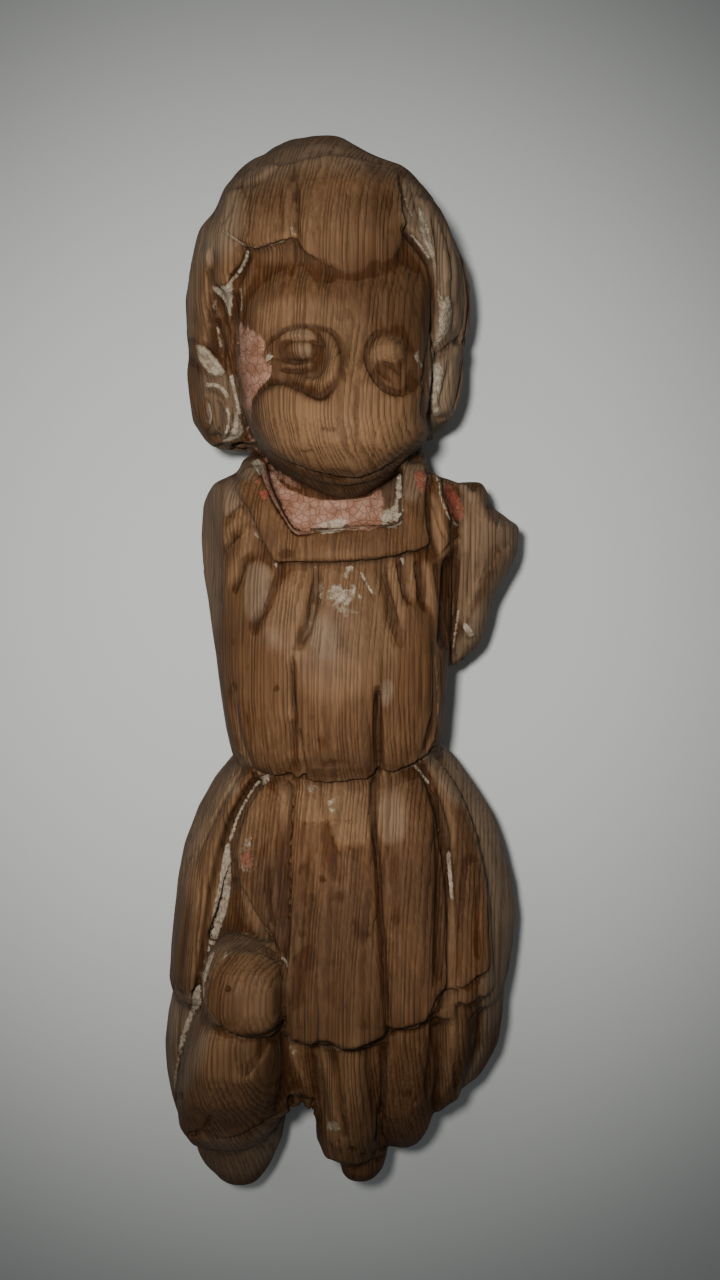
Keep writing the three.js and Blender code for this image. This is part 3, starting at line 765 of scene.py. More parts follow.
@dataclass
class Dress:
    """The neck opening, the collar band, and the gathered bodice with its blousing."""

    def first_cuts(self) -> Marks:
        """The main forms."""
        vee, gouge, ridge = Profile.VEE, Profile.GOUGE, Profile.RIDGE
        return {
            "left shoulder": Grab((230, 472), (22, 18), (8, 3)),
            "right shoulder": Grab((438, 468), (18, 16), (-5, 3)),
            "collar outer": Step(((234, 478), (240, 494), (248, 508), (256, 524), (264, 541), (276, 562),
                (292, 561), (320, 562), (352, 560), (385, 557), (405, 552), (427, 546), (428, 525),
                (428, 500), (427, 480), (423, 462)), 0.8, 1.3, 4, 0.02),
            "collar inner": Step(((402, 468), (402, 495), (401, 524), (375, 528), (350, 531), (320, 533),
                (296, 535), (284, 520), (272, 500), (262, 476)), 0.6, 1.2, 3.5, 0.02),
            "blousing": Step(((238, 755), (250, 766), (265, 774), (280, 777), (291, 775), (297, 780),
                (303, 776), (311, 781), (330, 783), (352, 781), (371, 777), (378, 770), (392, 772),
                (408, 766), (422, 757), (438, 746)), 0.4, 2.4, 4, 0.02),
            "left gather": Step(((249, 556), (244, 572), (237, 594)), 0.6, 1.4, 4.5, 0.25),
            "first tongue": Step(((259, 622), (267, 601), (274, 581), (279, 562)), 0.5, 1.1, 4, 0.25),
            "second tongue": Step(((296, 648), (303, 632), (309, 612), (312, 592), (316, 566)),
                0.6, 1.5, 5, 0.25),
            "middle gather": Stroke(((317, 564), (313, 590), (310, 612), (304, 632), (296, 650)),
                4.6, 1.0, gouge, 0.25),
            "third tongue": Step(((383, 560), (388, 580), (394, 602), (400, 630)), 0.6, 1.3, 4.5, 0.25),
            "third tongue right": Step(((404, 602), (400, 580), (396, 560)), 0.4, 1.0, 3.5, 0.25),
            "fourth tongue right": Step(((418, 604), (418, 582), (415, 558)), 0.5, 1.1, 3.5, 0.25),
            "fifth tongue": Step(((420, 558), (423, 580), (428, 614)), 0.5, 0.7, 3.5, 0.25),
            "fifth tongue right": Step(((439, 606), (437, 585), (433, 562)), 0.4, 0.9, 3.5, 0.25),
            "middle column": Step(((296, 712), (299, 738), (303, 760), (308, 780)), 0.5, 1.5, 4, 0.2),
            "left pleat": Stroke(((294, 660), (293, 700), (296, 722)), 2.4, 0.8, gouge),
            "right pleat": Stroke(((379, 684), (378, 715), (378, 745), (379, 774)), 2.6, 1.7, vee, 0.12),
            "left edge": Step(((232, 688), (236, 712), (240, 740), (248, 762)), 0.6, 0.8, 4, 0.1),
            "right edge": Step(((420, 758), (430, 746), (435, 728), (437, 700), (436, 650)),
                0.6, 0.8, 4, 0.1),
            "right bank": Stroke(((436, 645), (438, 690), (435, 726), (428, 746), (418, 758)),
                2.4, 0.7, ridge),
            "shoulder side": Step(((222, 480), (221, 520), (221, 560), (223, 606)), 0.3, 0.9, 4),
        }

    def fine_cuts(self) -> Marks:
        """Gathers, worn creases and small flaws."""
        vee, gouge, ridge = Profile.VEE, Profile.GOUGE, Profile.RIDGE
        return {
            "first line": Stroke(((279, 563), (275, 580), (268, 600), (261, 618)), 1.0, 0.8, vee),
            "second line": Stroke(((317, 566), (313, 592), (309, 612)), 1.2, 0.6, vee),
            "apex": Stroke(((356, 563), (366, 582), (377, 603)), 0.9, 0.8, vee),
            "third line": Stroke(((384, 576), (391, 600), (398, 626)), 1.1, 0.9, vee),
            "right line": Stroke(((397, 562), (401, 582), (405, 598)), 1.1, 0.7, vee),
            "far line": Stroke(((434, 566), (437, 585), (440, 606)), 1.0, 0.6, vee),
            "left seam": Stroke(((293, 652), (292, 680), (294, 704), (297, 722)), 1.1, 1.0, vee),
            "left seam low": Stroke(((298, 724), (302, 748), (307, 778)), 1.1, 0.9, vee),
            "strip seam": Stroke(((292, 735), (293, 755), (292, 776)), 1.0, 0.7, vee),
            "right seam": Stroke(((379, 690), (378, 730), (379, 773)), 1.1, 1.2, vee, 0.1),
            "left wedge": Step(((240, 537), (232, 545), (224, 553)), 0.4, 0.7, 3),
            "upper wedge": Step(((247, 513), (238, 518), (226, 517)), 0.3, 0.6, 3),
            "shoulder facet": Stroke(((241, 503), (232, 510), (224, 518)), 1.4, 0.7, vee),
            "collar notch": Relief(((278, 550), (290, 549), (292, 560), (282, 560)), -0.7, 0.5),
            "worm hole": Mound((276, 688), (2.8, 2.8), -1.6, 40),
            "scrape": Mound((387, 692), (9, 15), -0.7, 40),
            "strip notch": Mound((291, 777), (4, 4), -1.2, 40),
            "column notch": Mound((304, 778), (4, 5), -1.4, 40),
            "right notch": Mound((378, 773), (4, 5), -1.4, 40),
            "hem dent": Mound((331, 764), (26, 6), -0.6, 40),
            "side grain": Stroke(((213, 510), (212, 550), (215, 600)), 1.2, 0.6, gouge),
        }

    def colours(self) -> Colours:
        """Flesh paint on the neck, ground on the chest and straps, and painted shade in the gathers, at the
        collar, under the hem and down the right side.
        """
        gesso, pale, grey, dark, red = Coat.GESSO, Coat.PALE, Coat.GREY, Coat.DARK, Coat.RED
        return {
            "neck": Patch(Coat.FLESH, ((262, 462), (272, 472), (284, 486), (304, 496), (325, 500),
                (345, 500), (368, 497), (382, 490), (380, 526), (345, 530), (318, 532), (296, 534),
                (283, 516), (271, 497), (263, 480)), 1.0, 0.8),
            "throat": Patch(Coat.FLESH, ((260, 452), (276, 466), (300, 480), (300, 490), (276, 478)),
                0.55, 1.0),
            "neck ground": Patch(gesso, ((321, 522), (334, 520), (345, 518), (344, 530), (331, 533),
                (320, 533)), 1.0, 0.5),
            "neck ground right": Patch(gesso, ((382, 510), (394, 505), (396, 480), (402, 476), (402, 524),
                (382, 526)), 0.75, 0.8),
            "strap tip": Patch(gesso, ((252, 462), (259, 459), (264, 470), (261, 475), (256, 470)),
                1.0, 0.6),
            "red spot": Patch(red, ((261, 490), (267, 490), (268, 498), (262, 498)), 1.0, 0.4),
            "red spot upper": Patch(red, ((253, 475), (259, 478), (260, 484), (254, 482)), 0.7, 0.5),
            "red flower": Patch(red, ((415, 473), (423, 471), (427, 482), (423, 494), (418, 489)),
                0.85, 0.5),
            "chest ground": Patch(gesso, ((326, 592), (334, 582), (346, 584), (356, 592), (350, 602),
                (338, 606), (326, 602)), 0.62, 1.5),
            "chest ground low": Patch(gesso, ((330, 603), (350, 602), (358, 612), (350, 618), (334, 612)),
                0.45, 1.5),
            "chest ground left": Patch(gesso, ((318, 582), (324, 580), (324, 598), (318, 600)), 0.55, 1.0),
            "apex ground": Trace(gesso, ((353, 565), (347, 574), (341, 583)), 1.2, 0.9),
            "apex ground right": Trace(gesso, ((360, 570), (366, 582), (374, 596)), 0.9, 0.65),
            "chest ground right": Trace(gesso, ((348, 584), (356, 592), (362, 600)), 1.2, 0.8),
            "chest flesh": Patch(Coat.FLESH, ((338, 588), (350, 586), (352, 596), (340, 597)), 0.6, 0.8),
            "gather tick": Trace(gesso, ((275, 562), (277, 568)), 0.9, 0.8),
            "gather tick two": Trace(gesso, ((313, 564), (316, 570)), 0.8, 0.7),
            "gather tick three": Trace(gesso, ((401, 557), (404, 564)), 0.9, 0.8),
            "wedge ground": Trace(gesso, ((253, 528), (257, 536), (255, 543)), 1.1, 0.6),
            "wedge pale": Patch(pale, ((240, 509), (249, 515), (247, 528), (238, 536), (230, 530)),
                0.8, 1.0),
            "wedge pale low": Patch(pale, ((248, 523), (258, 540), (258, 556), (246, 552), (238, 578),
                (230, 585), (228, 575), (240, 545)), 0.65, 1.2),
            "shoulder pale": Patch(pale, ((223, 530), (231, 528), (232, 542), (227, 550)), 1.0, 0.8),
            "side pale": Patch(pale, ((203, 540), (209, 545), (212, 600), (208, 592)), 0.7, 0.8),
            "tongue pale": Patch(pale, ((280, 584), (304, 584), (300, 640), (284, 650), (268, 630),
                (272, 606)), 0.65, 2),
            "third tongue pale": Patch(pale, ((386, 560), (394, 560), (404, 600), (404, 620), (398, 620),
                (390, 590)), 0.75, 0.8),
            "fourth tongue pale": Patch(pale, ((402, 558), (414, 558), (414, 598), (406, 596)), 0.6, 0.8),
            "fifth tongue pale": Patch(pale, ((422, 565), (432, 570), (438, 608), (428, 612)), 0.55, 0.8),
            "left strip pale": Patch(pale, ((286, 650), (291, 650), (293, 700), (292, 775), (286, 720)),
                0.6, 0.8),
            "wedge strip pale": Patch(pale, ((297, 728), (299, 730), (306, 774), (300, 772)), 0.9, 0.6),
            "right edge pale": Patch(pale, ((434, 645), (439, 650), (440, 700), (436, 735), (424, 756),
                (420, 756), (432, 728)), 1.0, 0.6),
            "left edge pale": Patch(pale, ((232, 690), (236, 694), (242, 740), (252, 764), (244, 758),
                (236, 730)), 0.8, 0.6),
            "chest pale": Patch(pale, ((300, 566), (380, 560), (400, 640), (380, 680), (330, 700),
                (300, 680), (292, 650)), 0.55, 4.0),
            "tongue grey": Patch(grey, ((248, 566), (264, 564), (270, 576), (266, 600), (257, 620),
                (246, 614), (245, 590)), 0.6, 1.2),
            "chest grey": Patch(grey, ((312, 614), (328, 622), (338, 640), (334, 660), (318, 655),
                (308, 636)), 0.55, 2),
            "tongue grey two": Patch(grey, ((264, 628), (276, 630), (286, 645), (270, 648)), 0.4, 2.0),
            "scrape grey": Patch(grey, ((381, 684), (390, 680), (393, 690), (387, 706), (380, 700)),
                0.85, 0.7),
            "side grey": Patch(grey, ((200, 490), (220, 482), (221, 600), (213, 640), (205, 600),
                (199, 540)), 0.5, 1.2),
            "shoulder grey": Patch(grey, ((226, 478), (236, 480), (241, 502), (228, 516), (222, 508)),
                0.6, 1.2),
            "strap top grey": Patch(grey, ((236, 468), (254, 458), (256, 472), (250, 480), (240, 478)),
                0.7, 1.2),
            "strap grey": Patch(grey, ((403, 466), (414, 460), (426, 466), (427, 482), (418, 500),
                (404, 496)), 0.6, 1.2),
            "neck grey": Patch(grey, ((382, 490), (396, 478), (398, 505), (384, 512)), 0.4, 1.0),
            # Painted shade: the dark marks below darken the collar corners, the gathers and seams, the right
            # flank and the band under the hem.
            "collar dark": Patch(dark, ((262, 533), (272, 527), (280, 540), (272, 548)), 0.7, 1.2),
            "collar end dark": Patch(dark, ((276, 550), (292, 549), (292, 560), (278, 560)), 0.45, 0.8),
            "apron dark": Trace(dark, ((276, 563), (320, 563), (352, 561), (385, 558), (405, 553),
                (426, 547)), 0.9, 0.9),
            "strap dark": Trace(dark, ((236, 482), (242, 498), (249, 511), (258, 530), (266, 547),
                (276, 563)), 0.9, 0.8),
            "tongue dark": Trace(dark, ((279, 563), (275, 580), (268, 600), (261, 618)), 1.0, 0.8),
            "middle gather dark": Trace(dark, ((317, 566), (313, 592), (309, 612), (303, 632), (297, 646)),
                1.8, 0.8),
            "side dark": Patch(dark, ((436, 590), (448, 560), (446, 650), (434, 700), (430, 690),
                (434, 640)), 0.6, 1.5),
            "right seam dark": Trace(dark, ((379, 690), (378, 730), (379, 773)), 1.0, 0.9),
            "hem dark": Patch(dark, ((305, 756), (372, 756), (376, 776), (350, 781), (310, 781)), 0.6, 2.0),
            "hem dark left": Patch(dark, ((246, 750), (290, 760), (290, 778), (262, 773)), 0.5, 2.0),
            "hem dark right": Patch(dark, ((380, 758), (424, 745), (415, 762), (392, 772)), 0.45, 2.0),
            "polish": Patch(Coat.SHINE, ((250, 590), (340, 600), (362, 650), (330, 690), (280, 660),
                (255, 620)), 0.4, 5),
        }


@dataclass
class Skirt:
    """The pleated skirt, open over the bent knee, with the layers behind it."""

    def first_cuts(self) -> Marks:
        """The main forms."""
        vee, gouge = Profile.VEE, Profile.GOUGE
        return {
            "right side": Grab((520, 930), (44, 170), (-8, 0)),
            "left side": Grab((164, 960), (34, 190), (4, 0)),
            "petticoat corner": Grab((404, 1128), (44, 42), (8, 15)),
            "back layer": Step(((243, 762), (230, 783), (218, 804), (207, 828), (197, 850), (187, 868),
                (181, 892)), 0.7, 1.0, 4),
            "deep fold": Stroke(((266, 775), (256, 785), (247, 799), (239, 814), (232, 834), (228, 850),
                (226, 870), (223, 890), (219, 912), (214, 936), (209, 958), (203, 982), (196, 1002),
                (188, 1026), (181, 1052), (176, 1080)), 3.8, 2.2, gouge, 0.08),
            "left panel": Step(((181, 880), (199, 850), (209, 828), (220, 804), (232, 783), (245, 764)),
                -0.2, 0.7, 4),
            "open edge": Step(((236, 876), (246, 890), (255, 908), (262, 924), (270, 938), (280, 952),
                (288, 963)), 1.2, 2.0, 4.5),
            "opening": Relief(((228, 884), (240, 884), (254, 912), (270, 945), (250, 944), (224, 944),
                (216, 944)), -1.6, 3),
            "knee": Step(((288, 961), (278, 956), (262, 952), (248, 950), (236, 948), (228, 951),
                (221, 959), (211, 974), (206, 990), (208, 1005), (216, 1018), (226, 1028), (240, 1035),
                (255, 1038), (270, 1037), (284, 1031)), 0.8, 1.6, 4, 0.03),
            "middle panel": Step(((292, 780), (291, 810), (289, 850), (288, 900), (288, 960), (288, 1000),
                (287, 1030), (292, 1041), (297, 1041), (310, 1044), (320, 1042), (328, 1043), (336, 1047),
                (350, 1050), (362, 1049), (374, 1045), (384, 1040), (387, 1030)), 0.8, 1.7, 4.5, 0.02),
            "panel seam": Stroke(((377, 774), (373, 795), (374, 825), (378, 860), (380, 905), (383, 950),
                (386, 1000), (387, 1036)), 2.8, 2.0, vee, 0.05),
            "right panel hem": Step(((387, 1029), (398, 1031), (408, 1030), (417, 1027), (425, 1020),
                (434, 1006), (441, 992)), 0.8, 1.7, 4, 0.02),
            "right recess": Stroke(((440, 800), (442, 850), (442, 900), (441, 950), (438, 992)),
                5.0, 2.2, gouge, 0.2),
            "far layer": Step(((482, 975), (488, 970), (491, 958), (489, 935), (487, 905), (484, 878),
                (479, 855), (474, 832), (465, 808), (455, 788), (444, 771), (431, 755)), 0.9, 1.5, 5, 0.05),
            "small hem": Step(((442, 992), (449, 989), (458, 988), (466, 986), (474, 980), (482, 976)),
                0.7, 1.4, 4, 0.02),
            "left hem": Step(((168, 978), (174, 989), (182, 994), (191, 992), (200, 985)),
                0.5, 1.5, 4, 0.02),
            "fold over": Step(((319, 784), (326, 810), (333, 838), (342, 860), (350, 884)),
                0.5, 0.6, 4, 0.25),
            "petticoat fold": Stroke(((440, 1000), (436, 1030), (432, 1062), (427, 1104)), 3.2, 1.5, gouge),
            "petticoat fold two": Stroke(((462, 990), (460, 1020), (458, 1058), (455, 1096)),
                2.8, 1.2, gouge),
            "petticoat fold three": Stroke(((480, 980), (481, 1010), (478, 1045), (472, 1074)),
                2.6, 1.0, gouge),
        }

    def fine_cuts(self) -> Marks:
        """Creases, drying splits and small flaws."""
        vee, gouge, ridge = Profile.VEE, Profile.GOUGE, Profile.RIDGE
        return {
            "deep fold top": Stroke(((266, 775), (256, 785), (247, 799), (239, 814), (232, 834)),
                1.2, 1.0, vee),
            "deep fold low": Stroke(((226, 870), (222, 895), (216, 920), (210, 948), (203, 978)),
                1.8, 0.9, gouge),
            "back layer line": Stroke(((246, 764), (233, 783), (221, 804), (210, 828), (199, 852)),
                1.0, 0.7, vee),
            "cross scratch": Stroke(((300, 823), (318, 823), (338, 822), (360, 822)), 0.9, 0.7, vee),
            "panel seam line": Stroke(((374, 788), (374, 825), (378, 862), (381, 910), (384, 950),
                (386, 1004)), 1.0, 1.1, vee, 0.05),
            "panel left line": Stroke(((293, 782), (292, 812), (290, 850), (289, 900), (288, 950)),
                1.0, 0.8, vee, 0.05),
            "white seam": Stroke(((448, 848), (450, 876), (452, 905), (452, 945), (451, 984)),
                1.8, 0.9, ridge),
            "side lobe": Step(((479, 862), (473, 862), (468, 870), (465, 886), (462, 906), (460, 934)),
                0.7, 0.7, 3, 0.1),
            "lobe hollow": Stroke(((478, 880), (478, 915), (478, 960)), 2.4, 0.6, gouge),
            "orange fold": Stroke(((434, 786), (440, 806), (446, 830), (448, 846)), 1.4, 0.7, gouge),
            "waist crease": Stroke(((412, 763), (420, 772), (430, 785), (436, 797)), 1.2, 0.6, ridge),
            "waist crease line": Stroke(((416, 760), (425, 770), (434, 783)), 0.9, 0.6, vee),
            "back strip": Stroke(((178, 998), (177, 1028), (177, 1060)), 1.2, 1.0, vee),
            "left grain two": Stroke(((201, 870), (198, 920), (193, 968)), 1.4, 0.6, gouge),
            "fold facet": Step(((285, 956), (272, 951), (260, 942), (252, 928)), 0.4, 0.5, 3),
            "panel hollow": Stroke(((268, 862), (268, 898), (276, 934)), 2.0, 0.6, gouge),
            "worm hole": Mound((323, 880), (2.6, 2.8), -1.6, 40),
            "worm hole two": Mound((390, 977), (2.4, 2.4), -1.2, 40),
            "worm hole three": Mound((228, 989), (3.2, 3.6), -1.8, 40),
            "knee dent": Mound((241, 980), (3.0, 3.0), -0.6, 40),
            "left hem notch": Mound((172, 991), (5, 4), -1.4),
            "hem notch": Mound((296, 1043), (3, 3), -1.4, 40),
            "hem notch two": Mound((480, 980), (5, 5), -1.2, 30),
            "corner nick": Mound((388, 1034), (4, 5), -1.0, 40),
        }

    def colours(self) -> Colours:
        """Ground in the deep fold, scraped places at the waist, and grey outer layers; painted highlights on
        the knee's top edge and the side seam, and painted shade in the recesses, seams and under the hems.
        """
        gesso, pale, grey, dark = Coat.GESSO, Coat.PALE, Coat.GREY, Coat.DARK
        return {
            "fold ground top": Trace(gesso, ((267, 775), (256, 785), (247, 799), (239, 814), (232, 834),
                (229, 846)), 0.9, 0.8),
            "fold ground": Patch(gesso, ((227, 842), (230, 850), (231, 872), (230, 892), (226, 912),
                (220, 930), (215, 950), (210, 966), (205, 982), (202, 980), (206, 958), (211, 930),
                (214, 908), (219, 886), (222, 862)), 1.0, 0.5),
            "fold flesh": Patch(Coat.FLESH, ((222, 876), (227, 878), (226, 900), (218, 914), (216, 904)),
                0.55, 0.8),
            "knee ground": Patch(gesso, ((195, 988), (203, 985), (205, 996), (198, 1008), (192, 1008)),
                0.95, 0.7),
            "low ground": Trace(gesso, ((198, 1000), (190, 1018), (184, 1036), (180, 1054)), 1.8, 0.9),
            "low ground end": Trace(gesso, ((180, 1052), (176, 1072), (174, 1092)), 1.0, 0.6),
            "waist ground": Patch(gesso, ((260, 778), (268, 774), (270, 780), (262, 786)), 0.8, 0.6),
            # Ground, and a painted highlight along the lit edge of the side seam.
            "seam ground": Trace(gesso, ((448, 850), (450, 876), (452, 900)), 1.2, 0.95),
            "crease ground": Trace(gesso, ((412, 763), (420, 772), (430, 785)), 0.9, 0.7),
            "scrape ground": Patch(gesso, ((328, 799), (334, 800), (336, 814), (330, 812)), 0.8, 0.7),
            "scrape ground two": Patch(gesso, ((302, 782), (317, 784), (317, 794), (304, 792)), 0.4, 1.0),
            "paint cream": Patch(gesso, ((244, 834), (252, 834), (254, 846), (246, 848)), 0.55, 1.0),
            "paint flecks": Patch(gesso, ((236, 850), (252, 846), (258, 862), (252, 876), (238, 872)),
                0.38, 1.2),
            "paint red": Patch(Coat.RED, ((240, 850), (252, 848), (256, 862), (248, 870), (239, 866)),
                0.55, 1.0),
            "paint dot": Patch(gesso, ((256, 860), (259, 860), (259, 866), (256, 866)), 1.0, 0.3),
            # Painted highlights: the light traces on the knee's top edge and corner stand in for light on the
            # bevel.
            "knee rim": Trace(gesso, ((222, 960), (226, 954), (232, 949), (240, 949)), 1.1, 0.65),
            "knee corner": Trace(gesso, ((281, 957), (286, 961), (288, 966)), 0.9, 0.7),
            "middle scrape": Patch(pale, ((300, 781), (318, 783), (324, 800), (330, 820), (300, 820)),
                0.75, 0.9),
            "middle scrape right": Patch(pale, ((322, 783), (371, 780), (372, 820), (366, 842), (350, 846),
                (336, 838), (330, 815)), 0.8, 1.0),
            "fold pale": Patch(pale, ((338, 858), (346, 862), (350, 884), (344, 890)), 0.6, 1.0),
            "right scrape": Patch(pale, ((376, 776), (400, 774), (408, 795), (402, 838), (388, 845),
                (378, 830)), 0.75, 1.0),
            "side panel pale": Patch(pale, ((236, 800), (262, 790), (250, 850), (236, 878), (220, 960),
                (186, 982), (204, 860)), 0.5, 3.0),
            "strip pale": Patch(pale, ((279, 780), (292, 780), (290, 806), (284, 836), (282, 820)),
                0.8, 0.7),
            "edge pale": Patch(pale, ((238, 880), (250, 892), (258, 912), (268, 934), (286, 958),
                (274, 952), (260, 942), (250, 918), (242, 896)), 0.9, 0.8),
            "back band": Patch(pale, ((246, 762), (232, 784), (220, 804), (209, 828), (198, 852),
                (184, 876), (192, 854), (203, 828), (214, 804), (226, 782), (240, 760)), 1.0, 0.8),
            "back pale": Patch(pale, ((238, 762), (224, 782), (204, 824), (184, 874), (196, 824),
                (214, 785)), 0.75, 1),
            "left panel pale": Patch(pale, ((186, 872), (198, 866), (200, 900), (190, 920)), 0.8, 2.0),
            "knee pale": Patch(pale, ((238, 954), (286, 960), (288, 1000), (282, 1028), (246, 1030),
                (236, 1000)), 0.6, 3.0),
            "low pale": Patch(pale, ((243, 1040), (262, 1040), (256, 1056), (244, 1060)), 0.45, 1.5),
            "under pale": Patch(pale, ((443, 992), (462, 988), (462, 1015), (458, 1060), (446, 1090),
                (438, 1090), (442, 1040)), 0.8, 1.2),
            # Pale bare wood, and a painted highlight along the lit edge of the side seam.
            "seam pale": Patch(pale, ((448, 900), (455, 902), (456, 986), (447, 986)), 0.9, 0.8),
            "orange pale": Patch(pale, ((438, 786), (450, 790), (454, 840), (448, 846), (442, 820)),
                0.9, 1.0),
            "far grey": Patch(grey, ((442, 750), (466, 768), (498, 828), (516, 890), (514, 935),
                (500, 1010), (478, 1068), (456, 1099), (481, 1040), (482, 980), (492, 960), (486, 890),
                (474, 830), (455, 788)), 0.75, 1.5),
            "waist grey": Patch(grey, ((424, 758), (436, 756), (460, 795), (458, 806), (440, 786)),
                0.6, 1.0),
            "back grey": Patch(grey, ((232, 764), (246, 764), (222, 812), (204, 850), (186, 880),
                (174, 960), (170, 940), (182, 850), (206, 800)), 0.4, 1.5),
            "blotch grey": Patch(grey, ((230, 782), (238, 784), (236, 794), (228, 792)), 0.7, 0.8),
            "strip grey": Patch(grey, ((166, 1000), (178, 994), (178, 1060), (174, 1095), (166, 1050)),
                0.75, 0.8),
            "strip grey two": Patch(grey, ((179, 998), (194, 994), (182, 1034), (179, 1040)), 0.5, 0.8),
            "right scrape grey": Patch(grey, ((380, 800), (402, 796), (402, 838), (386, 840)), 0.45, 1.5),
            # Painted shade: the dark marks below darken the recesses, the seam, the hems' undersides and the
            # petticoat behind the skirt.
            "left panel hem dark": Patch(dark, ((170, 976), (200, 976), (198, 986), (184, 994), (174, 988)),
                0.6, 1.2),
            "panel dark": Patch(dark, ((258, 868), (288, 860), (288, 955), (276, 940), (262, 905)),
                0.6, 2.5),
            "panel seam dark": Trace(dark, ((374, 786), (374, 825), (378, 862), (381, 910), (384, 950),
                (387, 1030)), 1.2, 0.9),
            "hem dark": Trace(dark, ((290, 1040), (297, 1041), (310, 1044), (328, 1043), (350, 1050),
                (374, 1045), (387, 1034)), 1.0, 0.8),
            "recess dark": Patch(dark, ((426, 830), (444, 838), (448, 900), (446, 985), (432, 1010),
                (424, 960)), 0.6, 2),
            "lobe dark": Patch(dark, ((458, 790), (468, 812), (478, 856), (466, 870), (460, 940),
                (456, 940), (456, 850)), 0.5, 1.5),
            "petticoat dark": Patch(dark, ((422, 1024), (438, 1002), (434, 1060), (428, 1100), (418, 1110)),
                0.5, 2),
            "petticoat dark two": Patch(dark, ((460, 990), (478, 985), (478, 1050), (458, 1090)), 0.4, 2),
        }


